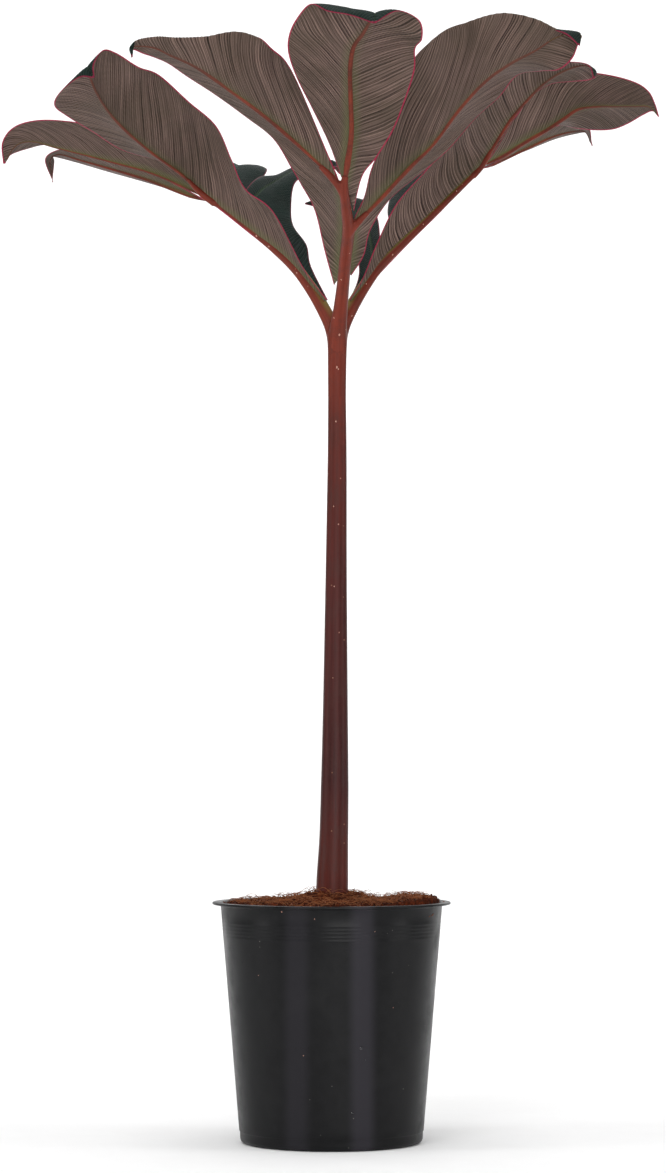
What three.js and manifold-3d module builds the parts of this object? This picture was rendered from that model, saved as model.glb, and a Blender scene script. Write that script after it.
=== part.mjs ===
// Potted amorphophallus: a plastic nursery pot filled with coir, one dark stalk that divides into
// three branches, and thirteen broad leaflets. Millimetres, +Z up, the pot stands on Z = 0 with its
// axis on the Z axis, and the front of the plant looks along -Y.
import * as THREE from "three";
import { mergeVertices } from "three/addons/utils/BufferGeometryUtils.js";
import Module from "manifold-3d";

const wasm = await Module();
wasm.setup();

// Driving dimensions of the pot
const POT_HEIGHT = 170.5;
const RIM_RADIUS = 85;
const RIM_THICKNESS = 1.8;
const WALL_TOP_RADIUS = 79.2;
const WALL_FOOT_RADIUS = 65.6;
const FOOT_STEP_HEIGHT = 8.2;
const FOOT_STEP = 0.5;
const FOOT_STEP_RISE = 0.6;
const BASE_RADIUS = 61.5;
const BASE_BEVEL_WIDTH = 2.6;
const BASE_BEVEL_HEIGHT = 1.2;
const FOOT_BEND_HEIGHT = 4;
const RIM_EDGE = 0.5;
const RIM_FILLET = 0.8;
const WALL_THICKNESS = 1.2;
const FLOOR_THICKNESS = 1.6;
const DRAIN_HOLES = 8;
const DRAIN_HOLE_RADIUS = 5;
const DRAIN_CIRCLE_RADIUS = 46;
const DRAIN_HOLE_SIDES = 10;
const POT_SIDES = 48;

// Driving dimensions of the soil and of what is hidden in it
const GAP = 0.3;
const SOIL_LEVEL = 168.5;
const SOIL_CROWN = 3.4;
const SOIL_RIGHT_HEAP = 3.8;
const SOIL_HEAP_START = 32;
const SOIL_HEAP_END = 60;
const SOIL_WAVE = 0.8;
const SOIL_SINK = 3;
const SOIL_MOUND_HEIGHT = 5.2;
const SOIL_MOUND_RADIUS = 26;
const SOIL_LUMP = 1.5;
const SOIL_RINGS = 11;
const SOIL_SIDES = 40;
const TUBER_RADIUS = 31;
const TUBER_HEIGHT = 44;
const TUBER_TOP = 104;
const TUBER_DENT = 5;
const TUBER_DENT_RADIUS = 12;
const TUBER_RINGS = 12;
const TUBER_SIDES = 24;

// Driving dimensions of the plant
const STALK_SIDES = 14;
const BRANCH_SIDES = 8;
const TUBE_END = 0.45;
const BLADE_THICKNESS = 0.7;
const RIDGE_DEPTH = 1.15;
const RIDGE_TAPER = 0.82;
const WIDEST_RIDGE_SHARE = 0.25;
const ARCH = 0.09;
const ROWS_PER_SECTION = 1.5;
const BASE_SHARE = 0.012;
const TIP_SHARE = 0.985;
const COLUMN_SHARES = [0.3, 0.62, 1];

// The plant's points are given as the eye meets them from the front: x and z as they appear at the
// pot's axis, and y as the real depth, so a point nearer the eye is moved towards the line of sight.
const EYE_DISTANCE = 2600;
const EYE_HEIGHT = 287;

function seen([x, z, y]) {
  const nearness = (EYE_DISTANCE + y) / EYE_DISTANCE;
  return new THREE.Vector3(x * nearness, y, EYE_HEIGHT + (z - EYE_HEIGHT) * nearness);
}

function smoothCurve(points) {
  return new THREE.CatmullRomCurve3(points, false, "catmullrom", 0.5);
}

// Solids in and out of the boolean library
function toSolid(geometry) {
  const bare = geometry.clone();
  bare.deleteAttribute("normal");
  bare.deleteAttribute("uv");
  const merged = mergeVertices(bare, 1e-4);
  const mesh = new wasm.Mesh({
    numProp: 3,
    vertProperties: new Float32Array(merged.attributes.position.array),
    triVerts: new Uint32Array(merged.index.array),
  });
  mesh.merge();
  return new wasm.Manifold(mesh);
}

function toGeometry(solid) {
  const mesh = solid.getMesh();
  const geometry = new THREE.BufferGeometry();
  const count = mesh.vertProperties.length / mesh.numProp;
  const positions = new Float32Array(count * 3);
  for (let i = 0; i < count; i += 1) {
    for (let k = 0; k < 3; k += 1) {
      positions[i * 3 + k] = mesh.vertProperties[i * mesh.numProp + k];
    }
  }
  geometry.setAttribute("position", new THREE.BufferAttribute(positions, 3));
  geometry.setIndex(Array.from(mesh.triVerts));
  return geometry;
}

function largestPiece(solid) {
  const pieces = solid.decompose();
  pieces.sort((a, b) => b.volume() - a.volume());
  return pieces[0];
}

function namedMesh(name, solid, color, roughness) {
  const geometry = toGeometry(solid);
  geometry.computeVertexNormals();
  const material = new THREE.MeshStandardMaterial({ color, roughness, metalness: 0 });
  const mesh = new THREE.Mesh(geometry, material);
  mesh.name = name;
  return mesh;
}

// A repeatable draw for the lumps of the soil
function seededRandom(seed) {
  let state = seed;
  return () => {
    state = (state * 1664525 + 1013904223) % 4294967296;
    return state / 4294967296;
  };
}

// Pot
function wallRadius(z) {
  const share = (z - FOOT_STEP_HEIGHT) / (POT_HEIGHT - FOOT_STEP_HEIGHT);
  return WALL_FOOT_RADIUS + (WALL_TOP_RADIUS - WALL_FOOT_RADIUS) * share;
}

function potSolid() {
  const rimBottom = POT_HEIGHT - RIM_THICKNESS;
  const profile = [
    [0, 0],
    [BASE_RADIUS, 0],
    [BASE_RADIUS + BASE_BEVEL_WIDTH, BASE_BEVEL_HEIGHT],
    [WALL_FOOT_RADIUS - FOOT_STEP, FOOT_BEND_HEIGHT],
    [WALL_FOOT_RADIUS - FOOT_STEP, FOOT_STEP_HEIGHT],
    [WALL_FOOT_RADIUS, FOOT_STEP_HEIGHT + FOOT_STEP_RISE],
    [wallRadius(rimBottom - RIM_FILLET), rimBottom - RIM_FILLET],
    [wallRadius(rimBottom) + RIM_FILLET, rimBottom],
    [RIM_RADIUS - RIM_EDGE, rimBottom],
    [RIM_RADIUS, rimBottom + RIM_EDGE],
    [RIM_RADIUS, POT_HEIGHT - RIM_EDGE],
    [RIM_RADIUS - RIM_EDGE, POT_HEIGHT],
    [wallRadius(POT_HEIGHT), POT_HEIGHT],
    [wallRadius(rimBottom) - WALL_THICKNESS, rimBottom],
    [wallRadius(FOOT_STEP_HEIGHT) - WALL_THICKNESS, FOOT_STEP_HEIGHT],
    [BASE_RADIUS, FLOOR_THICKNESS],
    [0, FLOOR_THICKNESS],
  ];
  const points = profile.map(([radius, z]) => new THREE.Vector2(radius, z));
  const shell = new THREE.LatheGeometry(points, POT_SIDES);
  shell.rotateX(Math.PI / 2);
  let solid = outward(toSolid(shell));
  for (let i = 0; i < DRAIN_HOLES; i += 1) {
    const angle = ((i + 0.5) * 2 * Math.PI) / DRAIN_HOLES;
    const length = FLOOR_THICKNESS * 4;
    const hole = new THREE.CylinderGeometry(DRAIN_HOLE_RADIUS, DRAIN_HOLE_RADIUS, length, DRAIN_HOLE_SIDES);
    hole.rotateX(Math.PI / 2);
    hole.translate(DRAIN_CIRCLE_RADIUS * Math.cos(angle), DRAIN_CIRCLE_RADIUS * Math.sin(angle), 0);
    solid = solid.subtract(toSolid(hole));
  }
  return solid;
}

// A mesh whose faces point inwards gives a solid of negative volume, which is turned round
function outward(solid) {
  return solid.volume() < 0 ? flipped(solid) : solid;
}

function flipped(solid) {
  const { vertProperties, triVerts } = solid.getMesh();
  const turned = new Uint32Array(triVerts);
  for (let i = 0; i < turned.length; i += 3) {
    turned[i] = triVerts[i + 1];
    turned[i + 1] = triVerts[i];
  }
  return new wasm.Manifold(new wasm.Mesh({ numProp: 3, vertProperties, triVerts: turned }));
}

// A tube along a curve whose radius changes: rings square to the curve, closed at both ends by a point
function taperedTube(points, radii, sides, extra) {
  const curve = smoothCurve(points.map(seen));
  const steps = (points.length - 1) * 2;
  const frames = curve.computeFrenetFrames(steps, false);
  const positions = [];
  const index = [];
  for (let i = 0; i <= steps; i += 1) {
    const center = curve.getPoint(i / steps);
    const along = (i / steps) * (radii.length - 1);
    const low = Math.min(Math.floor(along), radii.length - 2);
    const radius = THREE.MathUtils.lerp(radii[low], radii[low + 1], along - low) + extra;
    const tangent = curve.getTangent(i / steps);
    const side = frames.normals[0].clone().projectOnPlane(tangent).normalize();
    const up = tangent.clone().cross(side);
    for (let j = 0; j < sides; j += 1) {
      const angle = (j * 2 * Math.PI) / sides;
      const point = center.clone();
      point.addScaledVector(side, radius * Math.cos(angle));
      point.addScaledVector(up, radius * Math.sin(angle));
      positions.push(point.x, point.y, point.z);
    }
  }
  for (let i = 0; i < steps; i += 1) {
    for (let j = 0; j < sides; j += 1) {
      const next = (j + 1) % sides;
      const a = i * sides + j;
      const b = i * sides + next;
      index.push(a, b, b + sides, a, b + sides, a + sides);
    }
  }
  const firstTip = positions.length / 3;
  const start = curve.getPoint(0).addScaledVector(curve.getTangent(0), -TUBE_END * radii[0] - extra);
  const end = curve.getPoint(1).addScaledVector(curve.getTangent(1), TUBE_END * radii.at(-1) + extra);
  positions.push(start.x, start.y, start.z, end.x, end.y, end.z);
  for (let j = 0; j < sides; j += 1) {
    const next = (j + 1) % sides;
    index.push(next, j, firstTip);
    index.push(steps * sides + j, steps * sides + next, firstTip + 1);
  }
  const geometry = new THREE.BufferGeometry();
  geometry.setAttribute("position", new THREE.Float32BufferAttribute(positions, 3));
  geometry.setIndex(index);
  return outward(toSolid(geometry));
}

// Stalk: the petiole, its three branches and the forks where the side leaflets start
const PETIOLE = {
  points: [
    [0, 94, 0], [0, 150, 0], [0.6, 186, 0], [1.6, 215, 0], [2.3, 251, 0], [2.8, 308, 0], [3.1, 358, 0],
    [3.5, 415, 0], [4.1, 487, 0], [4, 530, 0], [4.1, 560, 0], [4.3, 578, 0],
  ],
  radii: [11.5, 11.7, 11.4, 10.4, 10, 9, 8.3, 7.6, 6.9, 6.5, 6.8, 7.4],
};
const LEFT_BRANCH = {
  points: [
    [3.4, 564, 0], [1, 580, 2], [-5.4, 594, 6], [-14.7, 609.7, 12], [-26.3, 625, 18], [-43.5, 641, 27.5],
    [-61.5, 655.2, 37], [-79.5, 669, 46], [-93, 678, 51],
  ],
  radii: [5.6, 5.6, 5.1, 4.6, 4.2, 3.6, 3.2, 2.8, 2.5],
};
const RIGHT_BRANCH = {
  points: [
    [4.8, 564, 0], [7.2, 580, 2], [13.4, 594, 6], [22.8, 610, 12], [33.6, 625, 18], [49, 640.5, 26],
    [66.5, 657.3, 36], [85.3, 675.5, 45], [99.5, 689.5, 52], [108, 698, 55],
  ],
  radii: [5.6, 5.6, 5.1, 4.5, 4.1, 3.5, 3, 2.7, 2.5, 2.3],
};
const FRONT_BRANCH = {
  points: [
    [4.3, 564, 0], [4.8, 580, -4], [6.5, 595, -12], [8.3, 612, -26], [10.3, 634, -48], [12, 652, -69],
    [10.6, 667, -87], [9, 682, -103], [10, 691, -110],
  ],
  radii: [6.2, 6.2, 5.2, 4.6, 4.3, 4.2, 3.8, 3.3, 2.7],
};
const FORKS = [
  {
    points: [[12, 648, -65], [15, 653, -70.5], [20, 658.5, -74.5], [26, 664.5, -77.5]],
    radii: [3.4, 3.2, 2.9, 2.6],
  },
  {
    points: [[9.3, 676, -97], [5, 684, -103.5], [-2, 692, -108], [-8, 698, -111]],
    radii: [3, 2.9, 2.6, 2.4],
  },
  {
    points: [[-84, 671, 47], [-92, 677, 49], [-98, 682.5, 44], [-103, 688, 37]],
    radii: [2.7, 2.6, 2.4, 2.2],
  },
  {
    points: [[102, 691, 52], [108, 698, 54], [113, 706, 48], [116, 712, 41]],
    radii: [2.5, 2.4, 2.3, 2.1],
  },
];

function stalkSolid(extra) {
  let solid = taperedTube(PETIOLE.points, PETIOLE.radii, STALK_SIDES, extra);
  for (const branch of [LEFT_BRANCH, RIGHT_BRANCH, FRONT_BRANCH, ...FORKS]) {
    solid = solid.add(taperedTube(branch.points, branch.radii, BRANCH_SIDES, extra));
  }
  return solid;
}

// Leaflets. Each row of a leaflet follows a vein: from the rib in the middle out to each edge. A side
// may also pass a fold, the line where the blade turns over and hides its own edge. Points are
// [x, z, y] as the eye meets them from the front.
const LEAFLETS = [
  {
    name: "leaflet_front_middle",
    ridge: 2.3,
    rib: [
      [9, 683, -104], [11.5, 700, -117], [14.5, 722, -135], [14, 746, -156], [13.6, 768, -178],
      [16, 784, -196], [22.5, 794, -209], [28, 803, -221], [30.5, 807.5, -229], [31.5, 808.5, -236],
      [31, 801.5, -244],
    ],
    first: [
      [8.2, 687, -105.5], [-2, 715, -122], [-14, 740, -147], [-25, 762, -170], [-31, 780, -192],
      [-30.5, 793, -204], [-25, 805, -214], [-15, 815.5, -223], [-3, 810.5, -234],
      [13, 807.5, -241], [30.7, 801.5, -244.5],
    ],
    second: [
      [15.3, 662, -86], [22, 690, -103], [33, 705, -120], [45, 725, -142], [54, 748, -165],
      [60, 768, -186], [60.5, 783, -199], [65.5, 790.5, -221], [63.5, 803.5, -233],
      [48, 810.5, -240], [31.3, 801.5, -244.5],
    ],
  },
  {
    name: "leaflet_front_left",
    ridge: 2.3,
    rib: [
      [5, 613, -25], [8.5, 636, -49], [9.5, 655, -72], [8, 671, -91], [4, 684, -104], [-9, 699, -111],
      [-32, 721, -125], [-57.7, 742, -140], [-84, 761, -154], [-99.3, 771, -163], [-114.4, 778, -171],
      [-129, 784.5, -180], [-144.5, 784.5, -188], [-143.8, 776.5, -190],
    ],
    first: [
      [6, 614, -25], [9.5, 637, -50], [10, 656, -73], [8.6, 672, -92], [6, 686, -104], [-3, 708, -111],
      [-28, 766, -146], [-42.5, 783, -153], [-56, 792, -161], [-84, 787, -166], [-107, 786, -170],
      [-124, 786.5, -173], [-141, 784.5, -182], [-143.4, 776.5, -190],
    ],
    firstFold: [
      null, null, null, null, null, null, null, [-50, 776, -150], [-64, 794.5, -168], [-90, 791.8, -175],
      [-112, 790.8, -182], [-127, 791, -187], [-142.5, 787.5, -190.5], null,
    ],
    second: [
      [3.2, 607, -19.5], [-5, 637, -38], [-12, 666, -62], [-22, 685, -77], [-29, 697, -87], [-42, 718, -94],
      [-62, 734, -106], [-84, 750, -120], [-104, 763, -137], [-117, 772, -151], [-126.6, 776.4, -162],
      [-136, 779.6, -176], [-143, 782, -186], [-144.2, 776.5, -190],
    ],
  },
  {
    name: "leaflet_front_right",
    ridge: 2.3,
    rib: [
      [10.5, 618, -30], [14, 638, -52], [17, 654, -72], [26, 664, -77], [40, 680, -85], [56, 697, -93],
      [73, 714.5, -102], [91.5, 739, -111], [110, 759, -121], [128, 772, -131], [147, 782, -141],
      [162, 791.5, -150], [178.5, 795, -158], [178.7, 785, -164],
    ],
    first: [
      [9.5, 619, -30], [13, 639, -53], [15.6, 658, -73], [23.6, 676, -83], [29, 697, -95],
      [42, 727, -104], [52, 763, -110], [68, 785, -116], [92, 796, -126], [116, 802, -137],
      [141, 799, -146], [160, 796.5, -153], [170, 793, -165], [178, 785.5, -165],
    ],
    firstFold: [
      null, null, null, null, null, null, [60, 757, -114], [80, 793, -126], [99, 802.5, -136],
      [122, 808.5, -146], [146, 804.5, -152], [162, 797.5, -155], null, null,
    ],
    second: [
      [12.6, 616.5, -27], [23, 633, -40], [28, 652, -56], [42, 674, -62], [62, 691, -67], [84, 710, -74],
      [104, 733, -82], [121, 748.5, -92], [134, 764, -104], [151, 767, -120], [164, 768, -140],
      [173.5, 776, -154], [178, 787, -161], [179, 785, -163],
    ],
  },
  {
    name: "leaflet_left_upper",
    ridge: 1.8,
    rib: [
      [-3, 596, 2], [-24, 621, 14], [-46, 641, 26], [-70, 660, 38], [-93, 678, 49], [-108, 692.5, 32],
      [-128, 707, 2], [-147, 723, -24], [-160, 737, -45], [-169, 751, -64], [-174, 763, -80],
      [-175.5, 770, -90], [-171, 762, -97],
    ],
    first: [
      [-0.5, 598, -1], [-20, 624, 2], [-42, 665, 4], [-62, 681.5, 8], [-72, 703, 8], [-83, 727, -8],
      [-103, 745, -28], [-124, 764, -46], [-139, 770, -64], [-155, 780, -80], [-164.5, 782, -90],
      [-171, 772, -96], [-170.6, 762, -97],
    ],
    second: [
      [-4, 595, 3], [-25, 620, 15], [-47, 640, 27], [-71, 659, 38.5], [-94, 678, 49.5], [-117, 699, 37],
      [-150, 709.5, 15], [-172, 723, -8], [-190, 734, -30], [-199.5, 742, -50], [-195, 752, -72],
      [-182, 762, -90], [-171.4, 762, -97],
    ],
  },
  {
    name: "leaflet_left_outer",
    ridge: 1.6,
    rib: [
      [-91.5, 675.9, 51.8], [-108, 684.8, 63], [-130, 694, 71], [-152, 700, 82], [-175, 706, 94],
      [-197, 711.5, 106], [-215, 716, 116], [-227, 713, 123], [-235.6, 699.5, 130],
    ],
    first: [
      [-92, 676.4, 51.4], [-118, 699, 53], [-148, 716, 56], [-172, 727, 66], [-194, 731, 78],
      [-214, 731, 92], [-229, 726, 106], [-237, 715, 119], [-236.2, 699.5, 129.5],
    ],
    second: [
      [-91, 675.5, 52.6], [-110, 689.5, 80], [-135, 700.5, 100], [-160, 707, 114], [-184, 711.5, 128],
      [-205, 713.5, 137], [-219, 710.5, 139], [-231, 706, 136], [-235, 699.5, 130.5],
    ],
  },
  {
    name: "leaflet_left_under",
    ridge: 1.9,
    rib: [
      [-86.3, 671.8, 48.3], [-108, 679.6, 76], [-132, 688.7, 98], [-157, 696.3, 118], [-180, 702.8, 134],
      [-196, 707, 142], [-203, 702, 151], [-200.5, 686, 156],
    ],
    first: [
      [-86.8, 671.4, 47.6], [-110, 684, 72], [-138, 697, 90], [-163, 704, 104], [-184, 709, 118],
      [-196, 710, 128], [-206, 703, 140], [-200, 686, 156],
    ],
    firstFold: [
      null, [-109, 681.8, 74], [-135, 692.9, 94], [-160, 700.1, 111], [-182, 705.9, 126],
      [-196, 708.5, 135], [-204.5, 702.5, 145.5], null,
    ],
    second: [
      [-85.8, 672.2, 49], [-107, 678.5, 104], [-134, 686.5, 132], [-161, 694.1, 152],
      [-183, 700.6, 162], [-200, 704.8, 164], [-199.5, 701.5, 160], [-201, 686, 156],
    ],
    secondFold: [
      null, [-107.5, 679, 90], [-133, 687.6, 115], [-159, 695.2, 135], [-181.5, 701.7, 148],
      [-198, 705.9, 153], [-201.2, 701.8, 155.5], null,
    ],
  },
  {
    name: "leaflet_left_rear",
    ridge: 1.9,
    rib: [
      [-83, 671.5, 46.5], [-85, 678, 72], [-84, 687, 100], [-80, 695, 130], [-72, 697.5, 160],
      [-64, 696.5, 184], [-60, 692, 205],
    ],
    first: [
      [-81.8, 670.8, 46.5], [-70, 669.5, 68], [-60, 677.5, 92], [-52.5, 686, 122], [-46.5, 694.5, 152],
      [-50, 697, 184], [-59.5, 692, 205],
    ],
    second: [
      [-84.2, 672, 47], [-95, 684, 73], [-105, 695, 100], [-108, 700, 130], [-99, 705, 160],
      [-82, 702, 184], [-60.5, 692, 205],
    ],
  },
  {
    name: "leaflet_left_inner",
    ridge: 1.9,
    rib: [
      [-4, 595.5, 5], [-28, 623.5, 21], [-52, 645, 35], [-62, 664, 56], [-52, 679, 82], [-42, 686, 106],
      [-32, 692, 130], [-20, 699, 155], [-6, 702.5, 176], [3, 701, 190], [6.5, 692, 198],
    ],
    first: [
      [-1, 598, 7], [-14.5, 625, 24], [-18, 641, 38], [-27.5, 655, 56], [-29, 669, 82], [-27, 684, 106],
      [-20, 691, 130], [-10, 695, 152], [-1, 697, 172], [5, 697, 188], [7, 692, 198],
    ],
    second: [
      [-5, 595, 5], [-29, 623, 21], [-55, 648, 38], [-67, 668, 58], [-60, 683, 86], [-51, 690.5, 112],
      [-43, 690, 134], [-32, 694, 160], [-16, 699, 182], [-3, 700, 194], [6, 692, 198.5],
    ],
  },
  {
    name: "leaflet_right_upper",
    ridge: 1.8,
    rib: [
      [12.5, 596, 4], [30, 616.5, 14], [54, 642, 27], [80, 668, 41], [108, 698.5, 53], [117.5, 714, 38],
      [129, 732, 16], [141, 746, -4], [153, 758, -22], [166, 766.5, -40], [179, 771, -55],
      [187.5, 769.5, -65], [189, 761.5, -70],
    ],
    first: [
      [11.6, 599.5, 1], [22.5, 617, 2], [33, 643, 10], [47, 671, 14], [68, 695, 18], [86, 716, 10],
      [104, 738, -4], [121, 755, -18], [139, 768, -34], [157, 772.5, -48], [173, 773.5, -60],
      [185, 771, -67], [188.6, 761.5, -70],
    ],
    second: [
      [13.5, 595, 5], [31, 616, 15], [55, 641.5, 28], [81, 667.5, 42], [109.5, 698, 54],
      [120, 713, 52], [131.5, 732.5, 39], [144, 748.5, 21], [158, 757.5, 1], [172, 759.2, -16],
      [186, 760.5, -40], [191, 764.5, -58], [189.4, 761.5, -70],
    ],
  },
  {
    name: "leaflet_right_outer",
    ridge: 1.8,
    rib: [
      [106.8, 697.5, 54.5], [122, 705, 58], [140, 716, 57], [155, 724.5, 53], [167, 732.5, 47],
      [178, 739.5, 36], [192, 741.5, 18], [205, 741.5, -2], [218, 741.5, -20], [229, 741, -34],
      [235.6, 733.5, -42],
    ],
    first: [
      [107.5, 698.2, 55], [122, 720, 71], [134, 736, 67], [148, 755, 57], [161, 765, 38],
      [184, 766, 18], [203, 763.5, -4], [219.5, 758.5, -22], [228.5, 752, -34], [232.8, 743.5, -40],
      [235.9, 733.5, -42],
    ],
    second: [
      [107.3, 697, 55.5], [126, 708, 77], [146, 719.8, 82], [162, 727.5, 77], [176, 725.5, 66],
      [190, 724, 50], [203, 724.7, 30], [214, 729, 8], [224, 734.8, -16], [231.3, 737.7, -34],
      [235.3, 733.5, -42],
    ],
  },
  {
    name: "leaflet_right_under",
    ridge: 1.9,
    rib: [
      [105.5, 695.3, 53.5], [123, 703.5, 80], [141, 711.8, 100], [158, 719.5, 116], [173, 723.5, 134],
      [183, 723, 150], [187.6, 712.5, 158],
    ],
    first: [
      [106, 694.9, 53.5], [127, 705.6, 74], [145, 719, 92], [161, 727, 102], [177, 729.5, 114],
      [185.5, 725.3, 130], [187.2, 712.5, 157.5],
    ],
    firstFold: [
      null, [125, 704.5, 77], [143, 715.4, 96], [159.5, 723.2, 109], [175, 726.5, 124],
      [184.2, 724.1, 140], null,
    ],
    second: [
      [105, 695.5, 54.3], [122, 702.4, 106], [141, 709.6, 132], [160, 717.3, 148],
      [175, 721.3, 160], [184.5, 721.8, 166], [188, 712.5, 158.5],
    ],
    secondFold: [
      null, [122.5, 703, 93], [141, 710.7, 116], [159, 718.4, 132], [174, 722.4, 147],
      [183.8, 722.4, 158], null,
    ],
  },
  {
    name: "leaflet_right_inner",
    ridge: 1.9,
    rib: [
      [13, 595.5, 6], [22, 608, 14], [30, 619, 20], [29.5, 632, 37], [28, 645, 58], [25, 655, 81],
      [20, 663, 104], [12, 668.5, 128], [2, 672, 150], [-9, 673, 168], [-19.3, 671, 180],
    ],
    first: [
      [14, 595, 6], [23, 607.5, 14], [33, 621, 21], [34.5, 636, 38], [34.8, 649, 60], [33, 661, 86],
      [28, 671, 112], [19, 674.8, 138], [8, 676, 158], [-6, 675.5, 172], [-19, 671.5, 180],
    ],
    second: [
      [12, 600, 8], [18, 613, 16], [19.8, 623, 24], [18, 633, 41], [15, 642, 61], [11, 650, 82],
      [6, 656, 104], [0, 661, 126], [-5, 665, 148], [-12, 668.5, 168], [-19.3, 670.5, 180],
    ],
  },
  {
    name: "leaflet_right_rear",
    ridge: 1.9,
    rib: [
      [74, 664.3, 39], [73, 671, 64], [70, 680, 92], [66, 689, 120], [63, 696, 148], [61, 699, 172],
      [60, 692, 190],
    ],
    first: [
      [72.8, 663.5, 39], [58, 658, 60], [43, 658, 82], [40.5, 668, 108], [45, 682, 138], [52, 692, 166],
      [59.5, 692, 190],
    ],
    second: [
      [75.2, 665.2, 39.5], [86, 677, 66], [94, 690, 96], [94, 701, 124], [87, 706, 150], [75, 703, 174],
      [60.5, 692, 190],
    ],
  },
];

// The point of a section at share t of the way from the rib (0) to the edge (1), through the fold
function acrossSection(rib, fold, edge, t) {
  const inner = rib.distanceTo(fold);
  const middle = inner / (inner + fold.distanceTo(edge));
  const ribWeight = ((t - middle) * (t - 1)) / middle;
  const foldWeight = (t * (t - 1)) / (middle * (middle - 1));
  const edgeWeight = (t * (t - middle)) / (1 - middle);
  const point = rib.clone().multiplyScalar(ribWeight);
  point.addScaledVector(fold, foldWeight);
  return point.addScaledVector(edge, edgeWeight);
}

// Where no fold is given, the half blade arches up by a share of its width
function foldPoints(ribs, edges, otherEdges, folds) {
  return ribs.map((rib, i) => {
    if (folds && folds[i]) {
      return seen(folds[i]);
    }
    const ahead = ribs[Math.min(i + 1, ribs.length - 1)].clone().sub(ribs[Math.max(i - 1, 0)]);
    const span = edges[i].clone().sub(otherEdges[i]);
    const up = ahead.cross(span).normalize();
    if (up.z < 0) {
      up.negate();
    }
    const middle = rib.clone().lerp(edges[i], 0.5);
    return middle.addScaledVector(up, ARCH * rib.distanceTo(edges[i]));
  });
}

function bladeSurface(leaflet) {
  const ribs = leaflet.rib.map(seen);
  const firsts = leaflet.first.map(seen);
  const seconds = leaflet.second.map(seen);
  const curves = {
    rib: smoothCurve(ribs),
    first: smoothCurve(firsts),
    firstFold: smoothCurve(foldPoints(ribs, firsts, seconds, leaflet.firstFold)),
    second: smoothCurve(seconds),
    secondFold: smoothCurve(foldPoints(ribs, seconds, firsts, leaflet.secondFold)),
  };
  return (s, side, share) => {
    const rib = curves.rib.getPoint(s);
    if (share === 0) {
      return rib;
    }
    const fold = curves[side < 0 ? "firstFold" : "secondFold"].getPoint(s);
    const edge = curves[side < 0 ? "first" : "second"].getPoint(s);
    return acrossSection(rib, fold, edge, share);
  };
}

function leafletSolid(leaflet) {
  const surface = bladeSurface(leaflet);
  const rows = Math.round((leaflet.rib.length - 1) * ROWS_PER_SECTION);
  const columns = 2 * (COLUMN_SHARES.length + 1);
  const middle = [];
  const ridges = [];
  for (let i = 0; i <= rows; i += 1) {
    const s = THREE.MathUtils.lerp(BASE_SHARE, TIP_SHARE, i / rows);
    const ridge = leaflet.ridge * (1 - RIDGE_TAPER * s);
    const row = [];
    for (let j = 0; j <= columns; j += 1) {
      const side = j < columns / 2 ? -1 : 1;
      const step = Math.abs(j - columns / 2);
      const width = surface(s, side, 1).distanceTo(surface(s, side, 0));
      const ridgeShare = Math.min(WIDEST_RIDGE_SHARE, ridge / width);
      row.push(surface(s, side, columnShare(step, ridgeShare)));
    }
    middle.push(row);
    ridges.push(ridge);
  }
  return gridSolid(middle, ridges, columns / 2);
}

// Columns lie on the rib, at the foot of its ridge, and then out to the edge
function columnShare(step, ridgeShare) {
  if (step < 2) {
    return step * ridgeShare;
  }
  return ridgeShare + (1 - ridgeShare) * COLUMN_SHARES[step - 2];
}

// A thin closed body from a grid of points: an upper face and a lower face split into triangles
// alike, the ridge of the rib on the lower face, and a band round the edge
function gridSolid(middle, ridges, ribColumn) {
  const rows = middle.length;
  const columns = middle[0].length;
  const upper = [];
  for (let i = 0; i < rows; i += 1) {
    for (let j = 0; j < columns; j += 1) {
      const before = middle[Math.max(i - 1, 0)][j];
      const after = middle[Math.min(i + 1, rows - 1)][j];
      const left = middle[i][Math.max(j - 1, 0)];
      const right = middle[i][Math.min(j + 1, columns - 1)];
      const normal = after.clone().sub(before).cross(right.clone().sub(left)).normalize();
      upper.push({ point: middle[i][j], normal });
    }
  }
  const skyward = upper.reduce((sum, { normal }) => sum + normal.z, 0) > 0 ? 1 : -1;
  const positions = [];
  for (const { point, normal } of upper) {
    const top = point.clone().addScaledVector(normal, (skyward * BLADE_THICKNESS) / 2);
    positions.push(top.x, top.y, top.z);
  }
  upper.forEach(({ point, normal }, k) => {
    const raised = k % columns === ribColumn ? RIDGE_DEPTH * ridges[Math.floor(k / columns)] : 0;
    const bottom = point.clone().addScaledVector(normal, -skyward * (BLADE_THICKNESS / 2 + raised));
    positions.push(bottom.x, bottom.y, bottom.z);
  });
  const index = [];
  const below = rows * columns;
  for (let i = 0; i < rows - 1; i += 1) {
    for (let j = 0; j < columns - 1; j += 1) {
      const a = i * columns + j;
      const b = a + 1;
      const c = a + columns;
      const d = c + 1;
      index.push(a, c, b, b, c, d);
      index.push(below + a, below + b, below + c, below + b, below + d, below + c);
    }
  }
  const rim = [];
  for (let j = 0; j < columns - 1; j += 1) {
    rim.push(j);
  }
  for (let i = 0; i < rows - 1; i += 1) {
    rim.push(i * columns + columns - 1);
  }
  for (let j = columns - 1; j > 0; j -= 1) {
    rim.push((rows - 1) * columns + j);
  }
  for (let i = rows - 1; i > 0; i -= 1) {
    rim.push(i * columns);
  }
  rim.forEach((a, k) => {
    const b = rim[(k + 1) % rim.length];
    index.push(a, b, below + a, b, below + b, below + a);
  });
  const geometry = new THREE.BufferGeometry();
  geometry.setAttribute("position", new THREE.Float32BufferAttribute(positions, 3));
  geometry.setIndex(index);
  return outward(toSolid(geometry));
}

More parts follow.
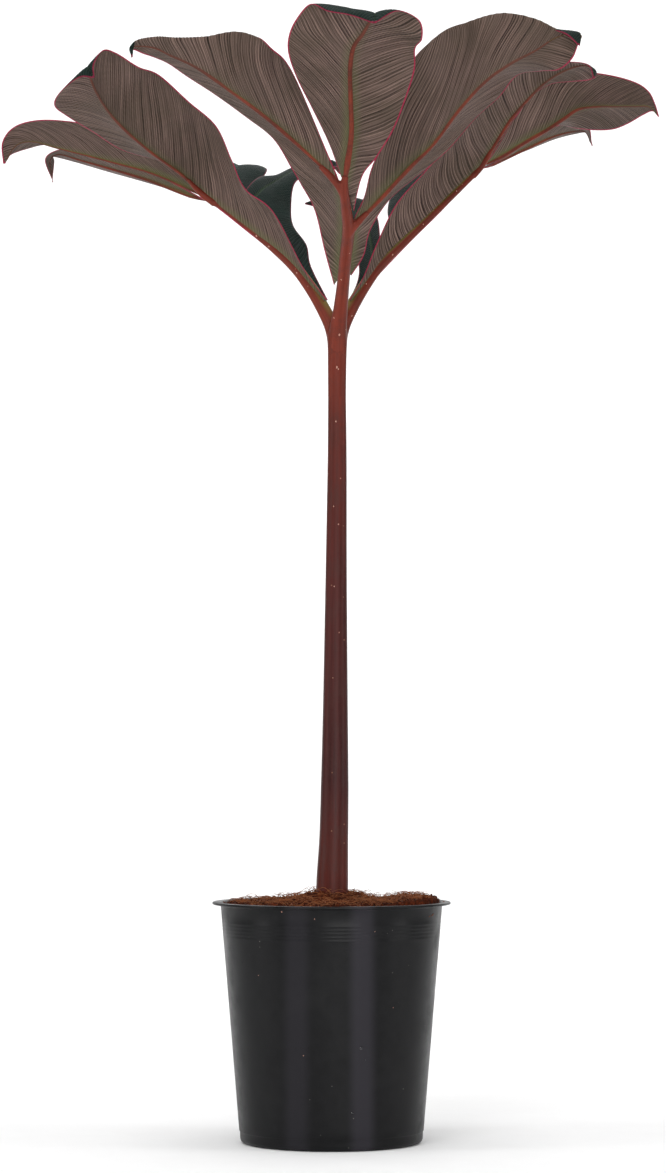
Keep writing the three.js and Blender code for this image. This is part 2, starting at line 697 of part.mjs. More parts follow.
// Tuber: a flattened globe with the dent that the stalk grows from
function tuberSolid(extra) {
  const profile = [];
  for (let i = 0; i <= TUBER_RINGS; i += 1) {
    const angle = -Math.PI / 2 + (i * Math.PI) / TUBER_RINGS;
    const radius = (TUBER_RADIUS + extra) * Math.cos(angle);
    const dent = angle > 0 ? TUBER_DENT * Math.exp(-((radius / TUBER_DENT_RADIUS) ** 2)) : 0;
    const z = TUBER_TOP - TUBER_HEIGHT / 2 + (TUBER_HEIGHT / 2 + extra) * Math.sin(angle) - dent;
    profile.push(new THREE.Vector2(i === 0 || i === TUBER_RINGS ? 0 : radius, z));
  }
  const shape = new THREE.LatheGeometry(profile, TUBER_SIDES);
  shape.rotateX(Math.PI / 2);
  return outward(toSolid(shape));
}

// Soil: fills the pot, crowned a little, heaped round the stalk and on the right of the rim
function soilHeight(x, y, lump) {
  const radius = Math.hypot(x, y);
  const crown = SOIL_CROWN * (1 - (radius / WALL_TOP_RADIUS) ** 2);
  const mound = SOIL_MOUND_HEIGHT * Math.exp(-((radius / SOIL_MOUND_RADIUS) ** 4));
  const heap = SOIL_RIGHT_HEAP * THREE.MathUtils.smoothstep(x, SOIL_HEAP_START, SOIL_HEAP_END);
  const wave = SOIL_WAVE * Math.sin(x * 0.13 + 1.1) * Math.cos(y * 0.11 + 0.4);
  return SOIL_LEVEL + crown + mound + heap + wave + lump;
}

function soilSolid() {
  const random = seededRandom(11);
  const inset = WALL_THICKNESS + GAP;
  const foot = FLOOR_THICKNESS + GAP;
  const sideRings = [
    [BASE_RADIUS - inset, foot],
    [wallRadius(FOOT_STEP_HEIGHT) - inset - GAP, FOOT_STEP_HEIGHT],
  ];
  const rings = sideRings.map(([radius, z]) => ringPoints(radius, () => z));
  const topRadius = wallRadius(SOIL_LEVEL - SOIL_SINK) - inset - GAP;
  for (let i = SOIL_RINGS; i >= 1; i -= 1) {
    const radius = (topRadius * i) / SOIL_RINGS;
    const lump = i === SOIL_RINGS ? SOIL_LUMP / 2 : SOIL_LUMP;
    rings.push(ringPoints(radius, (x, y) => soilHeight(x, y, (random() * 2 - 1) * lump)));
  }
  const positions = rings.flat(2);
  const index = [];
  for (let i = 0; i < rings.length - 1; i += 1) {
    for (let j = 0; j < SOIL_SIDES; j += 1) {
      const a = i * SOIL_SIDES + j;
      const b = i * SOIL_SIDES + ((j + 1) % SOIL_SIDES);
      index.push(a, b, b + SOIL_SIDES, a, b + SOIL_SIDES, a + SOIL_SIDES);
    }
  }
  const bottom = positions.length / 3;
  positions.push(0, 0, foot, 0, 0, soilHeight(0, 0, 0));
  const lastRing = (rings.length - 1) * SOIL_SIDES;
  for (let j = 0; j < SOIL_SIDES; j += 1) {
    const next = (j + 1) % SOIL_SIDES;
    index.push(next, j, bottom);
    index.push(lastRing + j, lastRing + next, bottom + 1);
  }
  const geometry = new THREE.BufferGeometry();
  geometry.setAttribute("position", new THREE.Float32BufferAttribute(positions, 3));
  geometry.setIndex(index);
  return outward(toSolid(geometry));
}

function ringPoints(radius, height) {
  const points = [];
  for (let j = 0; j < SOIL_SIDES; j += 1) {
    const angle = (j * 2 * Math.PI) / SOIL_SIDES;
    const x = radius * Math.cos(angle);
    const y = radius * Math.sin(angle);
    points.push([x, y, height(x, y)]);
  }
  return points;
}

// Assembly: the tuber sits in the soil, the stalk on the tuber, and the leaflets on its branches
const plant = new THREE.Group();
const pot = potSolid();
const tuber = tuberSolid(0);
const stalk = stalkSolid(0).subtract(tuberSolid(GAP));
const stalkRoom = stalkSolid(GAP);
const soil = soilSolid().subtract(stalkRoom).subtract(tuberSolid(GAP));

plant.add(namedMesh("pot", pot, 0x1d1e22, 0.42));
plant.add(namedMesh("soil", largestPiece(soil), 0x4a2a18, 0.95));
plant.add(namedMesh("tuber", tuber, 0x8a6a48, 0.8));
plant.add(namedMesh("stalk", largestPiece(stalk), 0x6a3436, 0.45));
for (const leaflet of LEAFLETS) {
  const blade = leafletSolid(leaflet).subtract(stalkRoom);
  plant.add(namedMesh(leaflet.name, largestPiece(blade), 0x5a4a42, 0.5));
}

export default plant;
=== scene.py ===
# %% [markdown]
# # A potted amorphophallus
# The object is a tall aroid in a black nursery pot. A plain solid model of it is already packed: it
# gives every piece its place and its size, in metres, with the pot standing on Z = 0 and the front
# of the plant looking along -Y. This script dresses that frame: it replaces all of the plain solids
# but the tuber by finer meshes of the same form, and gives every surface a procedural material.

import math

import bmesh
import bpy
import numpy as np
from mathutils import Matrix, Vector, noise
from mathutils.bvhtree import BVHTree


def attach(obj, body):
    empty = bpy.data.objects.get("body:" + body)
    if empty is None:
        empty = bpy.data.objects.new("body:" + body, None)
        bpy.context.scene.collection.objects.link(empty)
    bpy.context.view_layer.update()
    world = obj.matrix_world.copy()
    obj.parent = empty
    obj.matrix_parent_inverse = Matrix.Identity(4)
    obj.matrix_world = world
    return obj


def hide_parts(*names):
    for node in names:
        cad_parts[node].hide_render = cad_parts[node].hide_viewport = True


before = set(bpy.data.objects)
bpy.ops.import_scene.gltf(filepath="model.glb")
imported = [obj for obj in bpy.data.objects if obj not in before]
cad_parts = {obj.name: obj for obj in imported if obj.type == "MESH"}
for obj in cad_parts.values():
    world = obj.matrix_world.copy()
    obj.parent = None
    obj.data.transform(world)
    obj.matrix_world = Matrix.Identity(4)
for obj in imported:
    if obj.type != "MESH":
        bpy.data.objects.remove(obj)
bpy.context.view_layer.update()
MM = 0.001
print("nodes in the frame:", sorted(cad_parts))

# %% [markdown]
# ## The eye
# The plant was looked at from 2.6 m away, with the lens a little above the pot's rim. A long lens
# keeps the pot's sides almost parallel. It is set from the height that the picture covers.

# %% Camera
EYE_DISTANCE = 2.6
EYE_HEIGHT = 0.287
AIM_X = 0.0011
AIM_HEIGHT = 0.3954
FRAME_HEIGHT = 0.839

camera_data = bpy.data.cameras.new("camera")
camera_data.sensor_fit = "AUTO"
camera_data.lens = camera_data.sensor_width * EYE_DISTANCE / FRAME_HEIGHT
camera = bpy.data.objects.new("camera", camera_data)
bpy.context.scene.collection.objects.link(camera)
camera.location = (AIM_X, -EYE_DISTANCE, EYE_HEIGHT)
view_line = Vector((AIM_X, 0, AIM_HEIGHT)) - camera.location
camera.rotation_euler = view_line.to_track_quat("-Z", "Y").to_euler()
bpy.context.scene.camera = camera
bpy.context.scene.view_settings.view_transform = "Standard"
print("lens", round(camera_data.lens, 1), "mm")

# %% [markdown]
# ## Light and floor
# Soft studio light comes from large panels: one on each side gives the pot its bright edges, two in
# front show the undersides of the leaves, one hangs above, and two light the backdrop. The floor is
# plain and pale, and it curves up far behind the plant so that no horizon shows.


# %% Light panels
def light_panel(name, place, target, width, height, power):
    data = bpy.data.lights.new(name, "AREA")
    data.shape = "RECTANGLE"
    data.size = width
    data.size_y = height
    data.energy = power
    panel = bpy.data.objects.new(name, data)
    bpy.context.scene.collection.objects.link(panel)
    panel.location = place
    panel.rotation_euler = (Vector(target) - Vector(place)).to_track_quat("-Z", "Y").to_euler()


# Name, place, the point it faces, width and height in metres, and power in watts
PANELS = [
    ("panel_front", (-0.9, -2.5, 1.5), (0, 0, 0.5), 1.3, 1.3, 28),
    ("panel_low", (0.5, -2.4, 0.3), (0, 0, 0.7), 1.3, 0.4, 18),
    ("panel_left", (-1.9, -0.5, 0.8), (0, 0, 0.4), 0.5, 1.8, 12),
    ("panel_right", (1.9, -0.5, 0.8), (0, 0, 0.4), 0.5, 1.8, 12),
    ("panel_top", (0, -0.2, 3.0), (0, 0, 0), 3.0, 3.0, 66),
    ("panel_back_left", (-2.0, 1.6, 1.6), (-0.4, 4.2, 0.7), 1.6, 2.0, 42),
    ("panel_back_right", (2.0, 1.6, 1.6), (0.4, 4.2, 0.7), 1.6, 2.0, 42),
]
for panel in PANELS:
    light_panel(*panel)
print(len(PANELS), "light panels")


# %% Node helpers
def feed(tree, socket, value):
    """Links a socket to another node's output, or gives it a value of its own."""
    if isinstance(value, bpy.types.NodeSocket):
        tree.links.new(value, socket)
    else:
        socket.default_value = value


def put(tree, kind, *values, **named):
    """Adds a node. Named values are its own settings, or inputs with _ for a space. The plain
    values fill its inputs in their order."""
    node = tree.nodes.new(kind)
    for key, value in named.items():
        if hasattr(node, key) and not key.istitle():
            setattr(node, key, value)
        else:
            feed(tree, node.inputs[key.replace("_", " ")], value)
    for socket, value in zip(node.inputs, values):
        feed(tree, socket, value)
    return node


def math_node(tree, operation, *values, clamp=False):
    return put(tree, "ShaderNodeMath", *values, operation=operation, use_clamp=clamp).outputs[0]


def remap(tree, value, low, high, new_low=0.0, new_high=1.0):
    return put(tree, "ShaderNodeMapRange", value, low, high, new_low, new_high,
               interpolation_type="SMOOTHSTEP").outputs[0]


def cloud_node(tree, place, scale, detail, roughness=0.5):
    return put(tree, "ShaderNodeTexNoise", Vector=place, Scale=scale, Detail=detail,
               Roughness=roughness).outputs[0]


def blend(tree, share, first, second):
    node = put(tree, "ShaderNodeMix", data_type="RGBA")
    for index, value in ((0, share), (6, first), (7, second)):
        feed(tree, node.inputs[index], (*value, 1) if isinstance(value, tuple) else value)
    return node.outputs[2]


def layered(tree, colour, *layers):
    """Lays more colours over the first one, each by its own share."""
    for share, over in layers:
        colour = blend(tree, share, colour, over)
    return colour


def attribute(tree, name):
    return put(tree, "ShaderNodeAttribute", attribute_name=name).outputs["Fac"]


def new_group(name, kind, inputs, outputs):
    """A node group with its inputs and outputs by name: the group, what it reads and what it gives."""
    group = bpy.data.node_groups.new(name, kind)
    for label, socket_type, default in inputs:
        socket = group.interface.new_socket(name=label, in_out="INPUT", socket_type=socket_type)
        if default is not None:
            socket.default_value = default
    for label, socket_type in outputs:
        group.interface.new_socket(name=label, in_out="OUTPUT", socket_type=socket_type)
    return group, group.nodes.new("NodeGroupInput").outputs, group.nodes.new("NodeGroupOutput").inputs


FLOAT = "NodeSocketFloat"
INTEGER = "NodeSocketInt"
VECTOR = "NodeSocketVector"
GEOMETRY = "NodeSocketGeometry"
print("node helpers ready")

# %% [markdown]
# ## Finishes that share an effect
# Every surface of the plant and its pot has a fine grain that breaks up its colour, its gloss and
# its relief. It is one node group with named inputs, placed in each material with other values, so
# the grain is tuned in one place. The veins of the leaves and the pale specks on skin and plastic
# are groups for the same reason.

# %% Grain group
grain_group, given, made = new_group(
    "fine_grain", "ShaderNodeTree",
    [("Place", VECTOR, None), ("Scale", FLOAT, 400.0), ("Stretch", FLOAT, 1.0),
     ("Smoothest", FLOAT, 0.3), ("Roughest", FLOAT, 0.5)],
    [("Tone", FLOAT), ("Roughness", FLOAT), ("Height", FLOAT)],
)
COARSE_SCALE = 0.13
FINE_WEIGHT = 0.45
stretch = put(grain_group, "ShaderNodeCombineXYZ", 1.0, 1.0, given["Stretch"]).outputs[0]
place = put(grain_group, "ShaderNodeVectorMath", given["Place"], stretch, operation="MULTIPLY").outputs[0]
fine = cloud_node(grain_group, place, given["Scale"], 5.0, 0.62)
coarse_scale = math_node(grain_group, "MULTIPLY", given["Scale"], COARSE_SCALE)
coarse = cloud_node(grain_group, place, coarse_scale, 3.0)
coarse = math_node(grain_group, "MULTIPLY", coarse, 1 - FINE_WEIGHT)
tone = remap(grain_group, math_node(grain_group, "MULTIPLY_ADD", fine, FINE_WEIGHT, coarse), 0.3, 0.7)
span = math_node(grain_group, "SUBTRACT", given["Roughest"], given["Smoothest"])
rough = math_node(grain_group, "MULTIPLY_ADD", tone, span, given["Smoothest"])
for socket, value in zip(made, (tone, rough, fine)):
    feed(grain_group, socket, value)
print("group", grain_group.name)

# %% Speck group
speck_group, given, made = new_group(
    "loose_specks", "ShaderNodeTree",
    [("Place", VECTOR, None), ("Scale", FLOAT, 300.0), ("Size", FLOAT, 0.2), ("Share", FLOAT, 0.2)],
    [("Mask", FLOAT)],
)
cells = put(speck_group, "ShaderNodeTexVoronoi", Vector=given["Place"], Scale=given["Scale"])
chosen = put(speck_group, "ShaderNodeSeparateColor", cells.outputs["Color"])
kept = math_node(speck_group, "LESS_THAN", chosen.outputs[0], given["Share"])
inside = math_node(speck_group, "DIVIDE", cells.outputs["Distance"], given["Size"])
soft_spot = remap(speck_group, inside, 0.7, 1.0, 1.0, 0.0)
feed(speck_group, made["Mask"], math_node(speck_group, "MULTIPLY", kept, soft_spot))
print("group", speck_group.name)

# %% Vein group
vein_group, given, made = new_group(
    "leaf_veins", "ShaderNodeTree",
    [("Place", VECTOR, None), ("Vein", FLOAT, 0.0), ("Across", FLOAT, 0.0), ("Width", FLOAT, 0.5),
     ("Wander", FLOAT, 0.25)],
    [("Vein mask", FLOAT), ("Fine mask", FLOAT), ("Height", FLOAT)],
)
WANDER_SCALE = 32.0
STREAKS_TO_A_VEIN = 3.1
STREAK_DRIFT = 0.02
wander = math_node(vein_group, "SUBTRACT", cloud_node(vein_group, given["Place"], WANDER_SCALE, 2.0), 0.5)
wander = math_node(vein_group, "MULTIPLY", wander, given["Wander"])
phase = math_node(vein_group, "ADD", given["Vein"], wander)
# The main mask is 1 on the line of each vein, and 0 from its width on
between = math_node(vein_group, "ABSOLUTE",
                    math_node(vein_group, "SUBTRACT", math_node(vein_group, "FRACT", phase), 0.5))
away = math_node(vein_group, "SUBTRACT", 1.0, math_node(vein_group, "MULTIPLY", between, 2.0))
away = math_node(vein_group, "DIVIDE", away, given["Width"], clamp=True)
main_veins = math_node(vein_group, "SUBTRACT", 1.0, away)
streak_place = put(vein_group, "ShaderNodeCombineXYZ",
                   math_node(vein_group, "MULTIPLY", phase, STREAKS_TO_A_VEIN),
                   math_node(vein_group, "MULTIPLY", given["Across"], STREAK_DRIFT)).outputs[0]
fine_veins = remap(vein_group, cloud_node(vein_group, streak_place, 1.0, 2.0, 0.6), 0.34, 0.68)
relief = math_node(vein_group, "MULTIPLY_ADD", fine_veins, 0.45, main_veins)
for socket, value in zip(made, (main_veins, fine_veins, relief)):
    feed(vein_group, socket, value)
print("group", vein_group.name)


# %% Material helpers
def use_grain(tree, place, scale, smoothest, roughest, **others):
    return put(tree, "ShaderNodeGroup", node_tree=grain_group, Place=place, Scale=scale,
               Smoothest=smoothest, Roughest=roughest, **others).outputs


def material(name, scale, smoothest, roughest, **plain):
    """A new material, its tree, the place in the object, and its grain. The plain values sit on the
    shader's own sockets."""
    made = bpy.data.materials.new(name)
    made.use_nodes = True
    tree = made.node_tree
    for key, value in plain.items():
        tree.nodes["Principled BSDF"].inputs[key.replace("_", " ")].default_value = value
    place = put(tree, "ShaderNodeTexCoord").outputs["Object"]
    return made, tree, place, use_grain(tree, place, scale, smoothest, roughest)


def paint(tree, colour, roughness, height=None, distance=0.0, strength=0.0):
    """Gives the surface its colour, its roughness and, where there is a height, its relief."""
    sockets = tree.nodes["Principled BSDF"].inputs
    feed(tree, sockets["Base Color"], colour)
    feed(tree, sockets["Roughness"], roughness)
    if height is not None:
        relief = put(tree, "ShaderNodeBump", Height=height, Distance=distance, Strength=strength)
        feed(tree, sockets["Normal"], relief.outputs["Normal"])


print("material helpers ready")


# %% Mesh helpers
def new_object(name, vertices, faces, finishes):
    mesh = bpy.data.meshes.new(name)
    mesh.from_pydata([tuple(v) for v in vertices], [], faces)
    mesh.validate()
    piece = bpy.data.objects.new(name, mesh)
    bpy.context.scene.collection.objects.link(piece)
    for finish in finishes:
        mesh.materials.append(finish)
    mesh.shade_smooth()
    return piece


def capped_tube(rings, sides):
    """The faces of a tube of rings of points, closed by the two end points that follow them."""
    faces = []
    for i in range(rings - 1):
        for j in range(sides):
            a, b = i * sides + j, i * sides + (j + 1) % sides
            faces.append((a, b, b + sides, a + sides))
    last = (rings - 1) * sides
    for j in range(sides):
        k = (j + 1) % sides
        faces += [(k, j, rings * sides), (last + j, last + k, rings * sides + 1)]
    return faces


def point_values(piece, name, values):
    """Keeps a number or a vector for every point of a piece."""
    values = np.asarray(values, dtype=np.float32)
    kind, field = ("FLOAT_VECTOR", "vector") if values.ndim == 2 else ("FLOAT", "value")
    piece.data.attributes.new(name, kind, "POINT").data.foreach_set(field, values.ravel())


def plain_mesh(piece):
    """Replaces a piece and its modifiers by the mesh that they make."""
    graph = bpy.context.evaluated_depsgraph_get()
    made = bpy.data.meshes.new_from_object(piece.evaluated_get(graph))
    piece.modifiers.clear()
    piece.data = made
    piece.data.name = piece.name
    return piece


def settle(piece, slot, *nodes):
    """The piece rides on the one body and stands for the nodes that it replaces. Its slot is not used."""
    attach(piece, "root")
    if nodes:
        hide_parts(*nodes)
    triangles = sum(len(face.vertices) - 2 for face in piece.data.polygons)
    print(piece.name, triangles, "triangles")

# %% Floor
FLOOR_TONES = ((0.93, 0.93, 0.93), (0.96, 0.96, 0.96))
FLOOR_HALF = 6.0
FLOOR_DROP = 0.0002
BACK_DISTANCE = 4.0
CURVE_RADIUS = 1.5
CURVE_STEPS = 12
WORLD_STRENGTH = 0.17

floor_finish, tree, place, grain = material("pale_floor", 30.0, 0.75, 0.85, Specular_IOR_Level=0.2)
paint(tree, blend(tree, grain["Tone"], *FLOOR_TONES), grain["Roughness"])
outline = [(-FLOOR_HALF, 0.0)]
for step in range(CURVE_STEPS + 1):
    turn = math.pi / 2 * step / CURVE_STEPS
    outline.append((BACK_DISTANCE - CURVE_RADIUS + CURVE_RADIUS * math.sin(turn),
                    CURVE_RADIUS * (1 - math.cos(turn))))
outline.append((BACK_DISTANCE, FLOOR_HALF))
floor_points = [(x, y, z - FLOOR_DROP) for y, z in outline for x in (-FLOOR_HALF, FLOOR_HALF)]
floor_faces = [(2 * i, 2 * i + 1, 2 * i + 3, 2 * i + 2) for i in range(len(outline) - 1)]
floor = new_object("floor", floor_points, floor_faces, [floor_finish])

world = bpy.data.worlds.new("studio")
bpy.context.scene.world = world
world.use_nodes = True
world.node_tree.nodes["Background"].inputs["Color"].default_value = (1, 1, 1, 1)
world.node_tree.nodes["Background"].inputs["Strength"].default_value = WORLD_STRENGTH
print("floor and plain white surroundings")

# %% [markdown]
# ## The pot
# A thin-walled nursery pot is blown or moulded from black polypropylene: a tapered wall, a flat
# flange as its rim, a small step at the foot and round drain holes in the floor. A profile turned
# round the axis gives all of it but the holes, which are cut with a Boolean. The satin plastic
# shows faint rings left by the mould, smudges and dust, and two paler bands down its front are
# painted highlights.

# %% Pot plastic
BLACK_TONES = ((0.0042, 0.0043, 0.0048), (0.0066, 0.0067, 0.0074))
SMUDGE_COLOUR = (0.013, 0.013, 0.0135)
# The paler colour on the next line and the two bands after it are painted highlights down the front of the
# pot.
PAINTED_HIGHLIGHT_COLOUR = (0.021, 0.0195, 0.024)
DUST_COLOUR = (0.13, 0.12, 0.11)
PAINTED_HIGHLIGHT_BANDS = ((-0.024, 0.55), (0.0215, 1.0))  # where each runs down the front, and how much it shows
PAINTED_HIGHLIGHT_CORE, PAINTED_HIGHLIGHT_EDGE = 0.003, 0.012

pot_finish, tree, place, grain = material("pot_plastic", 900.0, 0.3, 0.42, Specular_IOR_Level=0.135)
dust = put(tree, "ShaderNodeGroup", node_tree=speck_group, Place=place, Scale=260.0, Size=0.12, Share=0.1)
smudge = cloud_node(tree, place, 38.0, 4.0)
dust_mask = math_node(tree, "MULTIPLY", dust.outputs["Mask"], remap(tree, smudge, 0.45, 0.62))
black = layered(tree, blend(tree, grain["Tone"], *BLACK_TONES),
                (remap(tree, smudge, 0.5, 0.75, 0.0, 0.3), SMUDGE_COLOUR))
axes = put(tree, "ShaderNodeSeparateXYZ", place).outputs
# Painted highlights: two soft paler stripes down the pot, only on the front that faces the eye.
in_front = remap(tree, axes["Y"], -0.03, 0.0, 1.0, 0.0)
for centre, strength in PAINTED_HIGHLIGHT_BANDS:
    away = math_node(tree, "ABSOLUTE", math_node(tree, "SUBTRACT", axes["X"], centre))
    painted_highlight = remap(tree, away, PAINTED_HIGHLIGHT_CORE, PAINTED_HIGHLIGHT_EDGE, strength, 0.0)
    black = blend(tree, math_node(tree, "MULTIPLY", painted_highlight, in_front), black, PAINTED_HIGHLIGHT_COLOUR)
rough = math_node(tree, "ADD", grain["Roughness"], remap(tree, smudge, 0.4, 0.7, -0.03, 0.08))
paint(tree, blend(tree, dust_mask, black, DUST_COLOUR), rough, grain["Height"], 0.00004, 0.5)
print("material", pot_finish.name)

# %% Pot shape
POT_HEIGHT = 170.5
RIM_RADIUS = 85.0
RIM_THICKNESS = 1.8
WALL_TOP_RADIUS = 79.2
WALL_FOOT_RADIUS = 65.6
FOOT_STEP_HEIGHT = 8.2
BASE_RADIUS = 61.5
WALL_THICKNESS = 1.2
FLOOR_THICKNESS = 1.6
POT_SIDES = 160
DRAIN_HOLES = 8
DRAIN_HOLE_RADIUS = 5.0
DRAIN_CIRCLE_RADIUS = 46.0
DRILL_DEPTH = 0.012
DRILL_SIDES = 32
SHARP_ANGLE = 40
MOULD_RINGS = (146.5, 149.0, 151.5, 154.0, 156.5)


def wall_radius(z):
    share = (z - FOOT_STEP_HEIGHT) / (POT_HEIGHT - FOOT_STEP_HEIGHT)
    return WALL_FOOT_RADIUS + (WALL_TOP_RADIUS - WALL_FOOT_RADIUS) * share


def pot_profile():
    """Radius and height, in millimetres, from the middle of the underside round to the floor inside."""
    under = POT_HEIGHT - RIM_THICKNESS
    points = [(0, 0), (30, 0), (BASE_RADIUS, 0), (63.2, 0.35), (64.3, 1.3), (64.9, 2.8), (65.1, 4.5)]
    points += [(65.1, FOOT_STEP_HEIGHT - 0.3), (65.35, FOOT_STEP_HEIGHT), (65.65, FOOT_STEP_HEIGHT + 0.6)]
    points += [(wall_radius(z), z) for z in np.linspace(14, 142, 9)]
    for z in MOULD_RINGS:
        points += [(wall_radius(z) + lift, z + dz) for lift, dz in ((0, -0.4), (0.07, 0), (0, 0.4))]
    points += [(wall_radius(z), z) for z in (162, under - 1.6)]
    points += [(wall_radius(under) + 0.25, under - 0.6), (wall_radius(under) + 0.9, under - 0.08)]
    points += [(RIM_RADIUS - 0.7, under), (RIM_RADIUS - 0.15, under + 0.25), (RIM_RADIUS, under + 0.8)]
    points += [(RIM_RADIUS - 0.12, POT_HEIGHT - 0.35), (RIM_RADIUS - 0.6, POT_HEIGHT)]
    top = wall_radius(POT_HEIGHT)
    points += [(top + 0.6, POT_HEIGHT), (top - 0.5, POT_HEIGHT - 0.4)]
    points += [(wall_radius(z) - WALL_THICKNESS, z) for z in np.linspace(POT_HEIGHT - 2.0, 9.0, 10)]
    return points + [(63.2, 3.2)] + [(radius, FLOOR_THICKNESS) for radius in (61.2, 30, 0)]


first, *profile, last = pot_profile()
turns = [2 * math.pi * j / POT_SIDES for j in range(POT_SIDES)]
vertices = [(radius * MM * math.cos(turn), radius * MM * math.sin(turn), z * MM)
            for radius, z in profile for turn in turns]
vertices += [(0, 0, z * MM) for _, z in (first, last)]
pot = new_object("nursery_pot", vertices, capped_tube(len(profile), POT_SIDES), [pot_finish])
drill = bmesh.new()
for hole in range(DRAIN_HOLES):
    turn = (hole + 0.5) * 2 * math.pi / DRAIN_HOLES
    made = bmesh.ops.create_cone(drill, cap_ends=True, segments=DRILL_SIDES, depth=DRILL_DEPTH,
                                 radius1=DRAIN_HOLE_RADIUS * MM, radius2=DRAIN_HOLE_RADIUS * MM)
    middle = Vector((math.cos(turn), math.sin(turn), 0)) * DRAIN_CIRCLE_RADIUS * MM
    bmesh.ops.translate(drill, verts=made["verts"], vec=middle)
cutter = new_object("drill", [], [], [])
drill.to_mesh(cutter.data)
drill.free()
cut = pot.modifiers.new("drain_holes", "BOOLEAN")
cut.operation = "DIFFERENCE"
cut.solver = "EXACT"
cut.object = cutter
plain_mesh(pot)
bpy.data.objects.remove(cutter)
pot.data.set_sharp_from_angle(angle=math.radians(SHARP_ANGLE))
settle(pot, "pot_plastic", "pot")

# %% [markdown]
# ## The soil
# Coconut coir settles into a crowned, lumpy surface of reddish brown crumbs with orange fibres
# that stick out. The bed follows the same heights as the frame's solid, with finer lumps from
# layered noise. Crumbs and fibres repeat about a thousand times each, so Geometry Nodes scatter
# them over the bed with a fixed seed.

# %% Coir finishes
COIR_TONES = ((0.014, 0.0036, 0.002), (0.115, 0.024, 0.0085))
CREVICE_SHADE_COLOUR = (0.01, 0.0034, 0.0018)
CRUMB_TONES = ((0.02, 0.005, 0.0022), (0.16, 0.036, 0.0125))
# The colour on the next line is painted shade for the gaps between the lumps of coir.
CRUMB_GRAIN = (0.048, 0.0135, 0.006)
FIBRE_TONES = ((0.1, 0.025, 0.01), (0.4, 0.13, 0.045))
FIBRE_GRAIN = (0.2, 0.075, 0.03)

coir_finish, tree, place, grain = material("coir", 700.0, 0.75, 0.98, Specular_IOR_Level=0.04)
# The cells give the lumps of the relief, and the bed is painted darker in the gaps between them: painted
# shade.
clods = put(tree, "ShaderNodeTexVoronoi", Vector=place, Scale=330.0).outputs["Distance"]
coir = layered(tree, blend(tree, grain["Tone"], *COIR_TONES),
               (remap(tree, clods, 0.2, 0.7, 0.0, 0.55), CREVICE_SHADE_COLOUR))
lumps = math_node(tree, "SUBTRACT", grain["Height"], clods)
paint(tree, coir, grain["Roughness"], lumps, 0.0012, 0.9)

crumb_finish, tree, place, grain = material("coir_crumb", 520.0, 0.6, 0.9, Specular_IOR_Level=0.06)
crumb = layered(tree, blend(tree, attribute(tree, "tint"), *CRUMB_TONES), (grain["Tone"], CRUMB_GRAIN))
paint(tree, crumb, grain["Roughness"], grain["Height"], 0.0006, 0.8)

fibre_finish, tree, place, grain = material("coir_fibre", 500.0, 0.45, 0.7, Specular_IOR_Level=0.12)
fibre = layered(tree, blend(tree, attribute(tree, "tint"), *FIBRE_TONES), (grain["Tone"], FIBRE_GRAIN))
paint(tree, fibre, grain["Roughness"])
print("three coir finishes")

# %% Soil bed
SOIL_LEVEL = 168.5
BED_BOTTOM = 2.0
BED_RINGS = 64
BED_SIDES = 180
BED_GAP = 0.35
BED_EDGE_HEIGHT = 164


def soil_height(x, y):
    """The height of the bed in millimetres: crowned, heaped round the stalk and on the right."""
    radius = math.hypot(x, y)
    crown = 3.4 * (1 - (radius / WALL_TOP_RADIUS) ** 2)
    mound = 5.2 * math.exp(-((radius / 26) ** 4))
    share = min(max((x - 32) / 28, 0), 1)
    heap = 3.8 * share * share * (3 - 2 * share)
    wave = 0.8 * math.sin(x * 0.13 + 1.1) * math.cos(y * 0.11 + 0.4)
    lumps = 1.5 * noise.noise(Vector((x, y, 3.0)) * 0.11) + 1.3 * noise.noise(Vector((x, y, 9.0)) * 0.27)
    crumbs = 0.8 * abs(noise.noise(Vector((x, y, 5.0)) * 0.6)) + 0.5 * noise.noise(Vector((x, y, 1.0)) * 1.3)
    return SOIL_LEVEL + crown + mound + heap + wave + lumps + crumbs


def bed_point(radius, turn, z=None):
    x, y = radius * math.cos(turn), radius * math.sin(turn)
    return (x * MM, y * MM, (soil_height(x, y) if z is None else z) * MM)


def bed_radius(z):
    return wall_radius(z) - WALL_THICKNESS - BED_GAP


profile = [(59.5, BED_BOTTOM), (63.9, 9.0)] + [(bed_radius(z), z) for z in (60, 110, 160)]
profile += [(bed_radius(BED_EDGE_HEIGHT) * ring / BED_RINGS, None) for ring in range(BED_RINGS, 0, -1)]
turns = [2 * math.pi * j / BED_SIDES for j in range(BED_SIDES)]
vertices = [bed_point(radius, turn, z) for radius, z in profile for turn in turns]
vertices += [bed_point(0, 0, BED_BOTTOM), bed_point(0, 0)]
soil = new_object("coir_bed", vertices, capped_tube(len(profile), BED_SIDES), [coir_finish])
settle(soil, "coir", "soil")


# %% Geometry Nodes helpers
def node_tool(name, sizes):
    """A Geometry Nodes tree with one named input for each size: the tree, what it reads, its end."""
    tree, given, made = new_group(name, "GeometryNodeTree", [("Geometry", GEOMETRY, None), *sizes],
                                  [("Geometry", GEOMETRY)])
    return tree, given, made["Geometry"]


def apply_tool(piece, group, **sizes):
    """Runs a node tree on a piece with these sizes and keeps the plain mesh that it makes."""
    modifier = piece.modifiers.new(group.name, "NODES")
    modifier.node_group = group
    codes = {item.name: item.identifier for item in group.interface.items_tree if item.in_out == "INPUT"}
    for key, value in sizes.items():
        modifier[codes[key]] = value
    return plain_mesh(piece)


